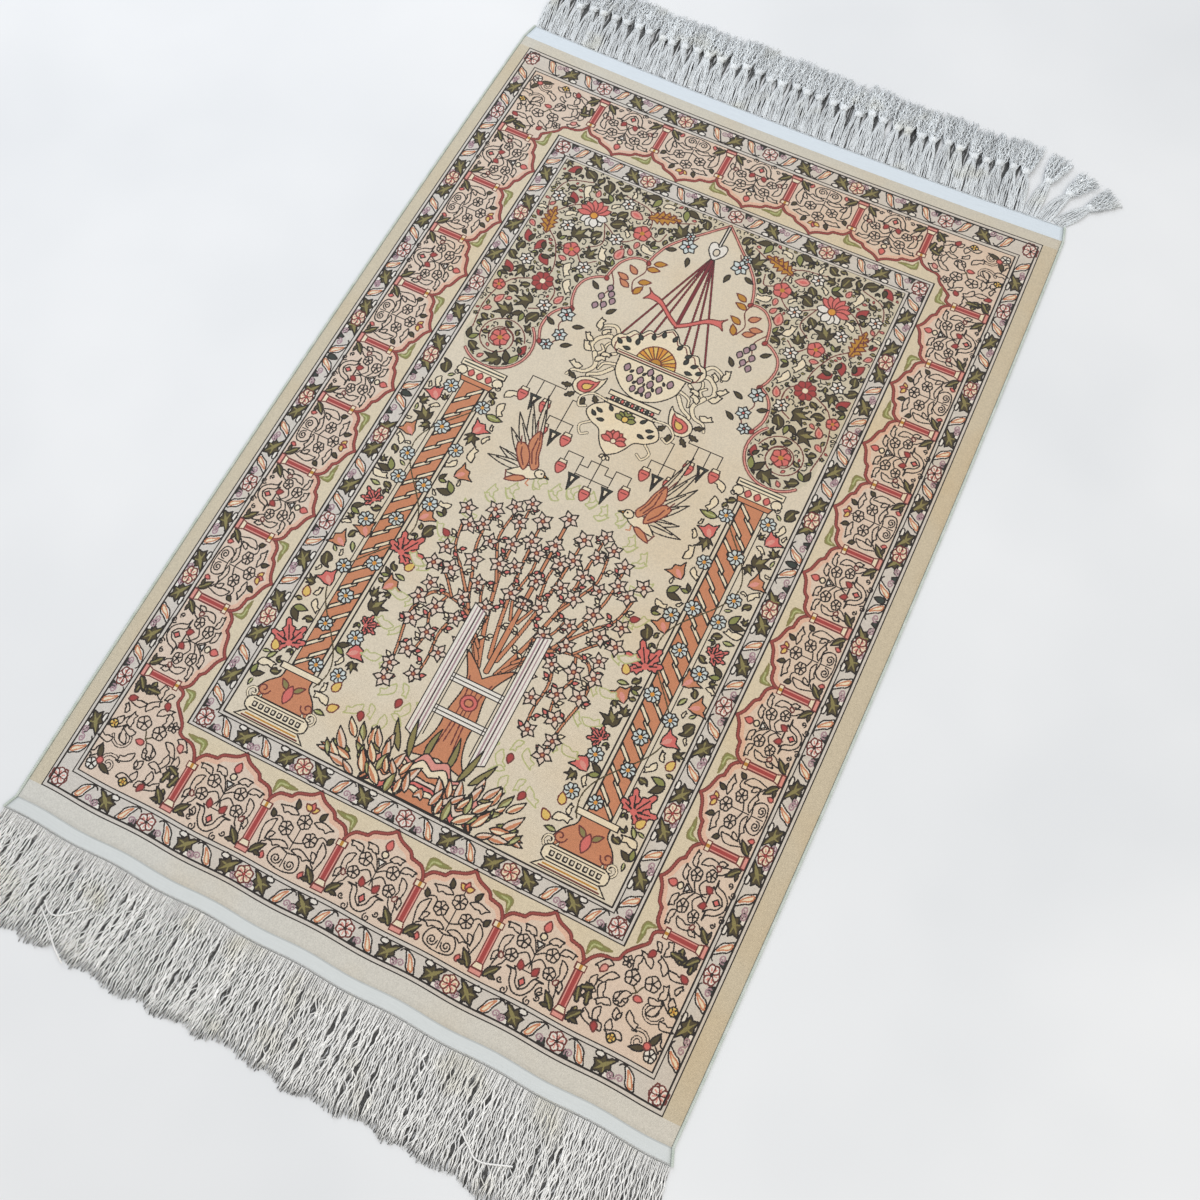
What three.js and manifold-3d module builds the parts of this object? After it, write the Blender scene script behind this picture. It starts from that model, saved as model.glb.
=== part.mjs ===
// A small knotted silk prayer rug lying flat: one woven body with a pile field and two flat-woven
// ends, an overcast cord along each long side, knotted tassels at the niche end and loose warp
// fringe at the foot. Millimetres, +Z up, +Y towards the niche end.
//
// Places on the cloth are given flat, as it left the loom: u runs across it from the left edge of
// the pile, v runs along the warps from the bottom edge of the pile. lay() puts them on the floor.

import * as THREE from 'three';
import { mergeVertices } from 'three/addons/utils/BufferGeometryUtils.js';
import Module from 'manifold-3d';

const wasm = await Module();
wasm.setup();

// The woven body
const PILE_WIDTH = 595;
const PILE_LENGTH = 906;
const PILE_THICKNESS = 2.6;
const PILE_STEP = 1.6; // over which the pile falls to the flat weave
const FLAT_WEAVE_THICKNESS = 1.2;
const FLAT_WEAVE_BOTTOM = 12; // length of the flat-woven end at the foot
const FLAT_WEAVE_TOP = 17; // and at the niche end

// How it lies: not quite square
const SIDE_BOW = 4.5; // each long side stands out this far at its middle
const TOP_DIP = 6; // the niche end sags this far at mid-width
const BOTTOM_FLARE = 4.5; // the flat weave at the foot spreads on each side
const TOP_TAPER = 4; // and the one at the niche end draws in
const RIPPLE = { height: 0.8, length: 85, reach: 60 }; // small waves of the foot's edge
const PILE_UNEVEN = 0.2;

// The overcast side cords
const CORD_DIAMETER = 2.4;
const CORD_SIDES = 8;

// The fringes, each rooted in a narrow strip parted from the flat weave's edge
const PARTING = 0.3;
const STRIP_DEPTH = 1.6;
const STRIP_THICKNESS = 1.3;
const ROOT_THICKNESS = 1.1; // of a lock where it leaves its strip

const LOCK_COUNT = 170;
const LOCK_LENGTH = 78;
const LOCK_WIDTH = 2.4;
const LOCK_HEIGHT = 1.7;
const LOCK_STEPS = 3;
const LOCK_SPREAD = 9; // how far the outermost locks lean out by their tips
const LOCK_SWAY = { width: 3, length: 97 }; // tips lean this way and that along the foot

const TASSEL_COUNT = 42;
const TASSEL_LENGTH = 84;
const TASSEL_SWAY = 1; // degrees

// A tassel's width and height along it, as shares of its length
const TASSEL_FORM = [
  { along: 0.0, width: 12.4, height: ROOT_THICKNESS },
  { along: 0.14, width: 12.2, height: 2.6 },
  { along: 0.36, width: 9.4, height: 4.2 },
  { along: 0.5, width: 5.4, height: 4.4 },
  { along: 0.56, width: 7.8, height: 6.4 },
  { along: 0.62, width: 5.4, height: 4.6 },
  { along: 0.75, width: 8.6, height: 3.6 },
  { along: 1.0, width: 10.4, height: 2.0 },
];

// Headings of the tassels, in degrees from straight out, positive to the right. The last three at
// the right corner fan out; all others lean a little left and straighten in their skirts.
const TASSEL_HEADING = { root: -9, tip: 0, length: 1 };
const CORNER_HEADINGS = [
  { fromRight: 2, root: 2, tip: 14, length: 0.96 },
  { fromRight: 1, root: 13, tip: 34, length: 0.9 },
  { fromRight: 0, root: 36, tip: 38, length: 0.84 },
];

const FIELD_COLOUR = '#d8c9aa';
const CORD_COLOUR = '#dfe3da';
const FRINGE_COLOUR = '#d3d6d6';

const clamp = THREE.MathUtils.clamp;
const lerp = THREE.MathUtils.lerp;
const degToRad = THREE.MathUtils.degToRad;

// A fixed uneven number from -1 to 1 for each index
const uneven = (index, kind) => Math.sin(index * 12.9898 + kind * 78.233);

// Where a point of the flat cloth lies on the floor, at height z
function lay(u, v, z = 0) {
  const across = (2 * u) / PILE_WIDTH - 1;
  const along = clamp((2 * v) / PILE_LENGTH - 1, -1, 1);
  const past = v < 0 ? clamp(-v / FLAT_WEAVE_BOTTOM, 0, 1) : 0;
  const beyond = clamp((v - PILE_LENGTH) / FLAT_WEAVE_TOP, 0, 1);
  const out = SIDE_BOW * (1 - along * along) + BOTTOM_FLARE * past - TOP_TAPER * beyond;
  const dip = TOP_DIP * (1 - across * across) * clamp(v / PILE_LENGTH, 0, 1) ** 3;
  const fade = Math.exp(-Math.max(v, 0) / RIPPLE.reach);
  const wave = RIPPLE.height * Math.sin((2 * Math.PI * u) / RIPPLE.length) * fade;
  return new THREE.Vector3(u + out * across, v - dip + wave, z);
}

// The cloth's height above the floor
function heightAt(u, v) {
  const inside = Math.min(v, PILE_LENGTH - v);
  const rise = THREE.MathUtils.smoothstep(inside, 0, PILE_STEP);
  const waves = Math.sin(u / 61) * Math.sin(v / 83 + 1) * PILE_UNEVEN;
  return lerp(FLAT_WEAVE_THICKNESS, PILE_THICKNESS + waves, rise);
}

// Equal steps from one value to another
function steps(from, to, count) {
  return Array.from({ length: count + 1 }, (_, i) => lerp(from, to, i / count));
}

// A sheet over a grid of columns u and rows v, flat underneath, with its top at height(u, v)
function sheet(columns, rows, height) {
  const nu = columns.length - 1;
  const nv = rows.length - 1;
  const geometry = new THREE.BoxGeometry(nu, nv, 1, nu, nv, 1);
  const place = geometry.attributes.position;
  for (let i = 0; i < place.count; i++) {
    const u = columns[Math.round(place.getX(i) + nu / 2)];
    const v = rows[Math.round(place.getY(i) + nv / 2)];
    const p = lay(u, v, place.getZ(i) > 0 ? height(u, v) : 0);
    place.setXYZ(i, p.x, p.y, p.z);
  }
  return geometry;
}

// A section swept along a route: place(x, y, t) puts the section's point (x, y) at t from 0 to 1
function sweep(section, count, place) {
  const options = { depth: 1, steps: count, bevelEnabled: false };
  const geometry = new THREE.ExtrudeGeometry(section, options);
  const points = geometry.attributes.position;
  for (let i = 0; i < points.count; i++) {
    const p = place(points.getX(i), points.getY(i), points.getZ(i));
    points.setXYZ(i, p.x, p.y, p.z);
  }
  return geometry;
}

// Sections one unit wide and one high, standing on their base
const polygon = (points) => new THREE.Shape(points.map(([x, y]) => new THREE.Vector2(x, y)));
const WEDGE = polygon([[-0.5, 0], [0.5, 0], [0, 1]]);
const LOAF = polygon([[-0.5, 0], [0.5, 0], [0.28, 1], [-0.28, 1]]);

// And a round one, as a regular polygon of radius one about its middle
const ROUND = polygon(steps(0, 2 * Math.PI, CORD_SIDES).slice(1).map((a) => [Math.cos(a), Math.sin(a)]));

// Joins closed geometries into one solid
function join(geometries) {
  const solids = geometries.map((geometry) => {
    const bare = geometry.clone();
    bare.deleteAttribute('normal');
    bare.deleteAttribute('uv');
    const merged = mergeVertices(bare, 1e-4);
    return new wasm.Manifold(new wasm.Mesh({
      numProp: 3,
      vertProperties: new Float32Array(merged.attributes.position.array),
      triVerts: new Uint32Array(merged.index.array),
    }));
  });
  const mesh = solids.reduce((whole, next) => whole.add(next)).getMesh();
  const geometry = new THREE.BufferGeometry();
  geometry.setAttribute('position', new THREE.BufferAttribute(mesh.vertProperties, 3));
  geometry.setIndex(new THREE.BufferAttribute(mesh.triVerts, 1));
  return geometry;
}

// The woven body: a pile slab that steps down to a flat-woven band at each end
const BODY_COLUMNS = steps(0, PILE_WIDTH, 25);
const BODY_ROWS = [
  ...steps(-FLAT_WEAVE_BOTTOM, 0, 2),
  PILE_STEP / 2,
  ...steps(PILE_STEP, PILE_LENGTH - PILE_STEP, 14),
  PILE_LENGTH - PILE_STEP / 2,
  ...steps(PILE_LENGTH, PILE_LENGTH + FLAT_WEAVE_TOP, 2),
];

// The overcast cord along one long side, its side given as -1 or 1
function sideCord(side) {
  const radius = CORD_DIAMETER / 2;
  const edge = side < 0 ? 0 : PILE_WIDTH;
  const count = BODY_ROWS.length - 1;
  return sweep(ROUND, count, (x, y, t) => {
    const p = lay(edge, BODY_ROWS[Math.round(t * count)], radius);
    p.x += side * (PARTING + radius) - x * radius;
    p.z += y * radius;
    return p;
  });
}

// The narrow strip that a fringe is rooted in, from v to v + STRIP_DEPTH
function strip(v) {
  return sheet(BODY_COLUMNS, [v, v + STRIP_DEPTH], () => STRIP_THICKNESS);
}

// One lock of loose warps, by its place from 0 at the left to 1 at the right
function looseLock(share, index) {
  const inset = LOCK_WIDTH;
  const u = lerp(inset, PILE_WIDTH - inset, share);
  const root = lay(u, -FLAT_WEAVE_BOTTOM - PARTING - STRIP_DEPTH / 2);
  const scallop = 2.2 * Math.sin(u / 6.1) + 1.8 * Math.sin(u / 23) + 1.5 * uneven(index, 1);
  const length = LOCK_LENGTH + scallop;
  const spread = LOCK_SPREAD * (2 * share - 1);
  const sway = LOCK_SWAY.width * Math.sin((2 * Math.PI * u) / LOCK_SWAY.length);
  return sweep(WEDGE, LOCK_STEPS, (x, y, t) => {
    const lean = spread * Math.sqrt(t) + sway * t + 0.25 * uneven(index, t);
    const height = lerp(ROOT_THICKNESS, LOCK_HEIGHT, clamp(t * 4, 0, 1));
    return new THREE.Vector3(root.x + lean + x * LOCK_WIDTH, root.y - t * length, y * height);
  });
}

// The heading of a tassel at its root and its tip, in degrees to the right of straight out
function tasselHeading(index) {
  const corner = CORNER_HEADINGS.find((row) => row.fromRight === TASSEL_COUNT - 1 - index);
  if (corner) return corner;
  return {
    root: TASSEL_HEADING.root + TASSEL_SWAY * uneven(index, 2),
    tip: TASSEL_HEADING.tip + 2 * TASSEL_SWAY * uneven(index, 3),
    length: TASSEL_HEADING.length,
  };
}

// One knotted tassel: it gathers to a knot and flares below it
function tassel(index) {
  const u = (PILE_WIDTH * (index + 0.5)) / TASSEL_COUNT;
  const root = lay(u, PILE_LENGTH + FLAT_WEAVE_TOP + PARTING + STRIP_DEPTH / 2);
  const heading = tasselHeading(index);
  const length = TASSEL_LENGTH * heading.length + 3 * uneven(index, 4);
  const count = TASSEL_FORM.length - 1;
  const centres = [root];
  const sides = [new THREE.Vector3(-1, 0, 0)];
  for (let i = 1; i <= count; i++) {
    const { along } = TASSEL_FORM[i];
    const angle = degToRad(lerp(heading.root, heading.tip, along));
    sides.push(new THREE.Vector3(-Math.cos(angle), Math.sin(angle), 0));
    const reach = (along - TASSEL_FORM[i - 1].along) * length;
    const step = new THREE.Vector3(Math.sin(angle), Math.cos(angle), 0).multiplyScalar(reach);
    centres.push(centres[i - 1].clone().add(step));
  }
  return sweep(LOAF, count, (x, y, t) => {
    const i = Math.round(t * count);
    const { width, height } = TASSEL_FORM[i];
    const p = centres[i].clone().addScaledVector(sides[i], x * width);
    return p.setZ(y * height);
  });
}

function looseFringe() {
  const locks = steps(0, 1, LOCK_COUNT - 1).map(looseLock);
  return join([strip(-FLAT_WEAVE_BOTTOM - PARTING - STRIP_DEPTH), ...locks]);
}

function knottedFringe() {
  const tassels = Array.from({ length: TASSEL_COUNT }, (_, i) => tassel(i));
  return join([strip(PILE_LENGTH + FLAT_WEAVE_TOP + PARTING), ...tassels]);
}

const silk = new THREE.MeshStandardMaterial({ color: FIELD_COLOUR, roughness: 0.75, metalness: 0 });
const overcast = new THREE.MeshStandardMaterial({ color: CORD_COLOUR, roughness: 0.6, metalness: 0 });
const warp = new THREE.MeshStandardMaterial({ color: FRINGE_COLOUR, roughness: 0.7, metalness: 0 });

function piece(name, geometry, material) {
  const mesh = new THREE.Mesh(geometry, material);
  mesh.name = name;
  return mesh;
}

const rug = new THREE.Group();
rug.add(piece('rug_body', sheet(BODY_COLUMNS, BODY_ROWS, heightAt), silk));
rug.add(piece('selvedge_left', sideCord(-1), overcast));
rug.add(piece('selvedge_right', sideCord(1), overcast));
rug.add(piece('fringe_top', knottedFringe(), warp));
rug.add(piece('fringe_bottom', looseFringe(), warp));

// The origin is under the middle of the whole rug
const box = new THREE.Box3().setFromObject(rug);
const middle = box.getCenter(new THREE.Vector3());
rug.position.set(-middle.x, -middle.y, -box.min.z);

export default rug;
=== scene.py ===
import math

import bpy
import numpy as np
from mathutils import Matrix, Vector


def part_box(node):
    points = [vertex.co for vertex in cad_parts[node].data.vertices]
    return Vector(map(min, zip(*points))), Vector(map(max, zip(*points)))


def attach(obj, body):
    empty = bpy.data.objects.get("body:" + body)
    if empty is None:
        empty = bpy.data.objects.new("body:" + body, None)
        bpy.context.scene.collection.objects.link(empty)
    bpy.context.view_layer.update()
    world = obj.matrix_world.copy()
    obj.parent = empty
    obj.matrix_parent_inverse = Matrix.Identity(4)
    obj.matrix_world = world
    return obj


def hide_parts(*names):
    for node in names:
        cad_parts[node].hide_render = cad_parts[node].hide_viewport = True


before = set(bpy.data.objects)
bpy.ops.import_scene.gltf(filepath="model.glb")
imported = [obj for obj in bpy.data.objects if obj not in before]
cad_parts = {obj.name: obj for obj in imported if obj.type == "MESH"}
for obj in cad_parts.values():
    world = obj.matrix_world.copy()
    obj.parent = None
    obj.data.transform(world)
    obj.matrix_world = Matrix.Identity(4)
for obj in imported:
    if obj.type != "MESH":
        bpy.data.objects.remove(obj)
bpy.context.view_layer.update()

RANDOM = np.random.default_rng(7)
TURN = 2 * math.pi

# The cloth, in metres. A place on the flat cloth is (u, v): u runs across from the pile's left edge,
# v along the warps from the pile's bottom edge.
PILE_WIDTH = 0.595
PILE_LENGTH = 0.906
PILE_HEIGHT = 0.0026
CLOTH_HEIGHT = 0.0012
KILIM_BOTTOM = 0.012
KILIM_TOP = 0.017
SIDE_BOW = 0.0045
BOTTOM_FLARE = 0.0045
TOP_TAPER = 0.004
TOP_DIP = 0.006
RIPPLE_HEIGHT = 0.0008
RIPPLE_LENGTH = 0.085
RIPPLE_REACH = 0.060
PILE_UNEVEN = 0.0002
UNEVEN_ACROSS = 0.061
UNEVEN_ALONG = 0.083

# Where the flat cloth's (0, 0) lies, from the CAD
BODY_LOW, BODY_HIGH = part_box("rug_body")
LEFT = (BODY_LOW.x + BODY_HIGH.x - PILE_WIDTH) / 2
FOOT = BODY_HIGH.y - PILE_LENGTH - KILIM_TOP

# The pile's grid: each face carries 4 x 4 cells of the chart
CELLS_PER_FACE = 4
FACE_COLUMNS = 298
FACE_ROWS = 453
CELL_COLUMNS = FACE_COLUMNS * CELLS_PER_FACE
CELL_ROWS = FACE_ROWS * CELLS_PER_FACE
PILE_BANDS = 4
PALETTE_SIZE = 32
FACE_CORNERS = [(0, 0), (1, 0), (1, 1), (0, 1)]

# The woven cloth. Its back shows every second cell, so its faces are twice as wide as the pile's.
GROUND_CLEAR = 0.0001
BACK_SKIP = 2
BACK_COLUMNS = 149
BACK_ROWS = 226
BACK_END_STEPS = 6

# Names of what the meshes carry for the materials
CLOTH_UV = "cloth"
FACE_UV = "face"
KNOT_ROW = "knots_{}"
TONE = "tone"
BACK = "on_back"

# The cords
PARTING = 0.0003
CORD_RADIUS = 0.0012
CORD_SIDES = 8
CORD_STEPS = 240
TWINE_RADIUS = 0.0004
TWINE_PITCH = 0.0032
TWINE_STEPS = 900
TWINE_IN = 0.0008

# All threads. A kink is given as its size and its pitch, a tip as how fast the thread thins there
# and to what share of its radius, and a range as its least and greatest value.
THREAD_SIDES = 3
THICK_SIDES = 4
THREAD_FLATNESS = 0.6
ROOT_DEPTH = 0.0004
THREAD_TONES = (0.92, 1.08)
STEP_TONES = (0.86, 1.12)
THREAD_SHIFT = 0.1
RADIUS_RANGE = (0.8, 1.2)
PITCH_RANGE = (0.7, 1.4)

# The bottom fringe: three layers of long, loose threads that gather into locks
LOCK_STARTS = (0.1, 0.9)
LOCK_LENGTH = 0.079
LOCK_PITCH = 0.0145
LOCK_UNEVEN = 0.35
LOCK_STEPS = 22
LOCK_SPREAD = 0.009
LOCK_BEND = 1.3
LOCK_PULL = 0.05
LOCK_SWAY = 0.003
SWAY_PITCH = 0.097
SWAY_TURNS = 0.35
# Height of the waves in which the threads' ends lie, and their length for each radian
END_WAVES = ((0.0022, 0.0061), (0.0018, 0.023))
END_ROUND = 0.0012
END_SPREAD = 0.0011
LOCK_KINK = (0.0006, 0.012)
LIFT = 0.0003
LIFT_PITCH = 0.013
LOCK_TIP = (12, 0.35)
LOWEST_SHARE = 0.7
ROOT_SHARE = 0.2
ROOT_TONE = 1.05
# Threads, height over the floor, radius and tone of each layer. The lower layer's darker tone is painted
# shade, and the lowest layer is a near-black painted shadow under the rest.
LOCK_LAYERS = {
    "shadow_layer": (330, 0.0004, 0.00100, 0.10),
    "lower": (350, 0.0009, 0.00066, 0.66),
    "upper": (440, 0.0019, 0.00066, 1.16),
}
# Gaps between the threads: how many, how wide, and the least and greatest place, depth and length
SLIT_COUNT = 85
SLIT_WIDTH = 0.0020
SLIT_EASE = 0.0022
SLIT_RANGES = ((0, PILE_WIDTH), (0.012, 0.070), (0.004, 0.010))
STRAY_HEIGHT = 0.0032
STRAY_RADIUS = 0.0007
STRAY_TONE = 1.15
STRAYS = (
    ((0.073, -0.059), (0.082, -0.065), (0.091, -0.063), (0.108, -0.048)),
    ((0.073, -0.064), (0.087, -0.074), (0.100, -0.085), (0.113, -0.093)),
    ((0.445, -0.058), (0.456, -0.066), (0.468, -0.072), (0.492, -0.064)),
)

# The top fringe's tassels, with their headings in degrees at the root and at the end
TASSEL_COUNT = 42
TASSEL_LENGTH = 0.084
TASSEL_HEADINGS = (-9, 0)
HEADING_SPREADS = (1.2, 2.5)
TASSEL_STEPS = 41
TASSEL_TONES = (0.92, 1.04)
# Headings and share of the length of the last three tassels, counted from the right
CORNER_TASSELS = {2: (2, 14, 0.96), 1: (13, 34, 0.90), 0: (36, 38, 0.84)}
# Share of the length, width and height
TASSEL_FORM = (
    (0.00, 0.0142, 0.0013), (0.14, 0.0142, 0.0030), (0.30, 0.0138, 0.0044), (0.42, 0.0112, 0.0048),
    (0.52, 0.0066, 0.0046), (0.62, 0.0060, 0.0046), (1.00, 0.0104, 0.0020),
)
BUNDLE_THREADS = 23
BUNDLE_STEPS = 11
BUNDLE_RADIUS = 0.00068
BUNDLE_INSET = 0.0006
BUNDLE_KINK = (0.0004, 0.02)
BUNDLE_LIFT = (-0.0005, 0.0002)
BUNDLE_SPREAD = 0.07
KNOT_AT = 0.56
KNOT_SPREAD = 0.025
KNOT_TURNS = 2.5
KNOT_STEPS = 26
KNOT_SPAN = 0.0062
KNOT_WIDTH = 0.0074
KNOT_HEIGHT = 0.0060
KNOT_RADIUS = 0.0013
KNOT_INSET = 0.0008
KNOT_LEAN = 0.0016
# Where each thread of a knot starts, as a share of a turn, and how far it leans
KNOT_WINDS = ((0, 0.5), (0.33, -0.5), (0.66, 0.1))
SKIRT_THREADS = 60
SKIRT_STEPS = 14
SKIRT_LENGTH = 0.038
SKIRT_LENGTHS = (0.74, 1.06)
SKIRT_SPREAD = 0.0105
SKIRT_ROOT = 0.0016
SKIRT_RADIUS = 0.0005
SKIRT_KINK = (0.0009, 0.0085)
SKIRT_LIFT = 0.0006
SKIRT_LIFT_PITCH = 0.010
SKIRT_HEIGHT = 0.0050
SKIRT_FALL = 0.0014
SKIRT_LOWEST = 0.0004
SKIRT_TOP = 0.0036
SKIRT_TIP = (10, 0.5)
# Painted shade: tone of the lowest threads, and how much lighter the highest are
SKIRT_LOW_PAINTED_SHADE = 0.70
SKIRT_PAINTED_SHADE_RISE = 0.52
# Painted shadow: flat, near-black threads that stand in for the shade in the gaps between the tassels, from
# the left edge as far as SHADE_END
SHADOW_THREADS = 360
SHADE_STEPS = 8
SHADE_LENGTH = 0.056
SHADE_LENGTHS = (0.9, 1.1)
SHADE_RADIUS = 0.0007
SHADE_LEVEL = 0.0006
SHADE_KINK = (0.0005, 0.012)
SHADOW_THREAD_TONE = 0.12
SHADOW_THREAD_TONES = (0.6, 1.6)
SHADE_END = 0.545

# Looks, as screen colours
TOP_SILK = "#f2f7fa"
TOP_SILK_END = "#ebebdf"
BOTTOM_SILK = "#f6f6f4"
BOTTOM_SILK_END = "#efecdf"
TOP_WEAVE = "#dde7ef"
BOTTOM_WEAVE = "#dadfdf"
CORD_LIGHT = "#dfe6df"
CORD_DARK = "#c5d2c6"
WARM_TINT = "#f6e2c4"
FLOOR_LIGHT = "#eef0f2"
FLOOR_DARK = "#e2e5e8"
SKY = "#ffffff"

# How strongly the looks vary, as shares of the tone
# Painted light: how much warmer the pile is tinted towards its right side
RIGHT_SIDE_PAINTED_LIGHT = 0.35
STAIN = 0.5
STAIN_RANGE = (0.5, 0.8)
KNOT_SHADE = 0.14
ROW_SHADE = 0.10
PATCH_SHADE = 0.08
WEAVE_SHADE = 0.12
STITCH_SHADE = 0.22
# Painted shade: how much the twist's grooves darken the threads, and their mean tone
TWIST_PAINTED_SHADE = 0.11
TWIST_LEVEL = 0.97
# Painted shade between the wound thread's turns, and the cord's mean tone
CORD_PAINTED_SHADE = 0.05
CORD_LEVEL = 0.95
BACK_SHADE = 0.9

# Pitches in metres, and noise in waves a metre
KNOT_PITCH = 0.001
WEAVE_PITCH = 0.0012
CORD_PITCH = 0.0016
TWIST_PITCH = 0.0034
STITCH_WIDTH = 0.0006
ROW_NOISE = (6.0, 700.0)
WEAVE_NOISE = (60.0, 900.0)
PATCH_NOISE = 9.0
THREAD_NOISE = 22.0
CORD_NOISE = 90.0
FLOOR_NOISE = 3.0

# Height of the bumps, roughness and sheen
PILE_FINISH = (0.00025, 0.62, 0.15)
WEAVE_FINISH = (0.0001, 0.7, 0.1)
THREAD_FINISH = (0.0002, 0.6, 0.15)
CORD_FINISH = (0.0002, 0.6, 0.1)
FLOOR_FINISH = (0.0, 0.5, 0.0)

# The room. Each light has a place, size, power and colour.
FLOOR_SIZE = 6.0
SKY_STRENGTH = 0.62
LIGHTS = {
    "window": ((-1.2, 0.9, 1.6), 1.6, 16.4, "#f4f8ff"),
    "room": ((1.3, -0.6, 1.8), 1.8, 15.2, "#fff8ee"),
}

# The camera, found from the four corners of the border's outermost line in the photo
CAMERA_PLACE = (0.2069, -0.4109, 0.9724)
CAMERA_ANGLES = (20.365, 0.147, 26.293)
CAMERA_LENS = 35.52
SENSOR_WIDTH = 36.0

# The palette: the number that a cell of the chart holds is a colour's place in this list
PALETTE = []


def dye(colour):
    """Adds a colour to the palette and gives its number"""
    PALETTE.append(colour)
    return len(PALETTE) - 1


MARGIN = dye("#d2c8b1")
END_MARGIN = dye("#d6d2c5")
FOOT_MARGIN = dye("#dad9d2")
BORDER = dye("#ded2b8")
PEACH = dye("#e2cfbe")
GUARD = dye("#d6d1ca")
FIELD = dye("#e0d6c2")
INK = dye("#1c120c")
BROWN = dye("#6e302b")
RED = dye("#a83f3d")
ARCH_RED = dye("#9c4740")
PINK = dye("#e0988e")
CORAL = dye("#d9706a")
TERRACOTTA = dye("#cc8863")
OCHRE = dye("#c08a2e")
ORANGE = dye("#dd9a3a")
YELLOW = dye("#e3c26a")
CREAM = dye("#efe3c8")
WHITE = dye("#ece9e2")
BLUE_WHITE = dye("#d0dcdd")
OLIVE = dye("#4c4226")
LIGHT_OLIVE = dye("#8b8350")
LEAF = dye("#8a8f4f")
PALE_LEAF = dye("#b9bd86")
MAUVE = dye("#a98a95")
DARK_RED = dye("#7b2730")
TEAL = dye("#333c36")
SPANDREL = dye("#d3cbb5")
BLOSSOM = dye("#e4d3c4")
GLOW = dye("#e6bfa9")

# The chart, in millimetres from the corner of the border's outermost line
CELL = 0.5
MARGIN_LEFT = 12
MARGIN_BOTTOM = 16
MIDDLE = 284.5
PAST_MIDDLE = 300
TOP_LINE = 877
PILE_TOP = 890
HALF_COLUMNS = round((MARGIN_LEFT + MIDDLE) / CELL)
LINE = 1.3
FINE = 1.25
# Left edge, bottom and top of each line round the guards
GUARD_LINES = (
    (0.6, 0.6, 876.4), (3.8, 4.2, 872.8), (17.6, 21.0, 856.0), (20.8, 24.4, 852.6),
    (81.2, 98.4, 789.6), (84.4, 101.6, 786.6), (99.6, 117.4, 769.6), (102.8, 120.8, 766.4),
)
# The border between the guards: its arches' feet and capitals, and the columns between them
FOOT_LINE = 25.2
SIDE_FOOT = 21.5
CAPITAL = 70.6
ARCH_WIDTH = 72.4
ARCH_MIDDLES = (140.6, 212.6, MIDDLE)
END_COLUMNS = (104.4, 176.8, 248.4)
SIDE_COLUMNS = (121.8, 199, 274, 346, 418, 490, 561, 632, 702, 772)
# The side and the top compartments are shallower than the foot's: their depth as a share of its,
# and where they start
SIDE_SHARE = 0.8164
SIDE_START = -0.77
TOP_SHARE = 0.8446
TOP_START = 874.5
TOP_CORNER_SHARE = 0.828
TOP_CORNER_START = 872.9
# Height, left end, right end, leaves, and how they lean at each end of each row of the mound
MOUND_ROWS = (
    (148, 214, 244, 5, (80, 30)), (141, 208, 262, 8, (90, 20)), (133, 203, 268, 9, (96, 6)),
    (124, 204, 281, 11, (80, -4)),
)


# The drawing kit: a chart of the pile with one palette number for each cell, and a pen that draws
# on it in millimetres. The left half is drawn, and the whole rug's chart mirrors it.


class Chart:
    """The left half of the pile as cells, with x = 0 and y = 0 at the outermost line's corner"""

    def __init__(self, ground):
        self.cells = np.full((CELL_ROWS, HALF_COLUMNS), ground, np.uint8)

    def to_cells(self, points):
        return (np.array(points, float) + (MARGIN_LEFT, MARGIN_BOTTOM)) / CELL

    def window(self, points, reach):
        """The lowest and highest cell within reach of some points"""
        rows, columns = self.cells.shape
        low = np.maximum(np.floor(points.min(0) - reach), 0).astype(int)
        high = np.minimum(np.ceil(points.max(0) + reach), (columns, rows)).astype(int)
        return low, np.maximum(high, low)

    def fill(self, outline, colour):
        points = self.to_cells(outline)
        low, high = self.window(points, 0)
        x = np.arange(low[0], high[0]) + 0.5
        y = np.arange(low[1], high[1]) + 0.5
        inside = np.zeros((len(y), len(x)), bool)
        for (x0, y0), (x1, y1) in zip(points, np.roll(points, -1, axis=0)):
            crossed = (y0 <= y) != (y1 <= y)
            if crossed.any():
                edge = x0 + (y[crossed] - y0) * (x1 - x0) / (y1 - y0)
                inside[crossed] ^= x > edge[:, None]
        self.cells[low[1]:high[1], low[0]:high[0]][inside] = colour

    def line(self, points, colour, width):
        points = self.to_cells(points)
        reach = width / CELL / 2
        for start, end in zip(points[:-1], points[1:]):
            low, high = self.window(np.array([start, end]), reach)
            x = np.arange(low[0], high[0])[None, :] + 0.5 - start[0]
            y = np.arange(low[1], high[1])[:, None] + 0.5 - start[1]
            dx, dy = end - start
            share = np.clip((x * dx + y * dy) / max(dx * dx + dy * dy, 1e-9), 0, 1)
            near = (x - share * dx) ** 2 + (y - share * dy) ** 2 < reach * reach
            self.cells[low[1]:high[1], low[0]:high[0]][near] = colour

    def free(self, point, radius, ground):
        """Whether nothing but the ground's colour lies within a radius of a point"""
        low, high = self.window(self.to_cells([point]), radius / CELL)
        patch = self.cells[low[1]:high[1], low[0]:high[0]]
        return patch.size > 0 and (patch == ground).all()


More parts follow.
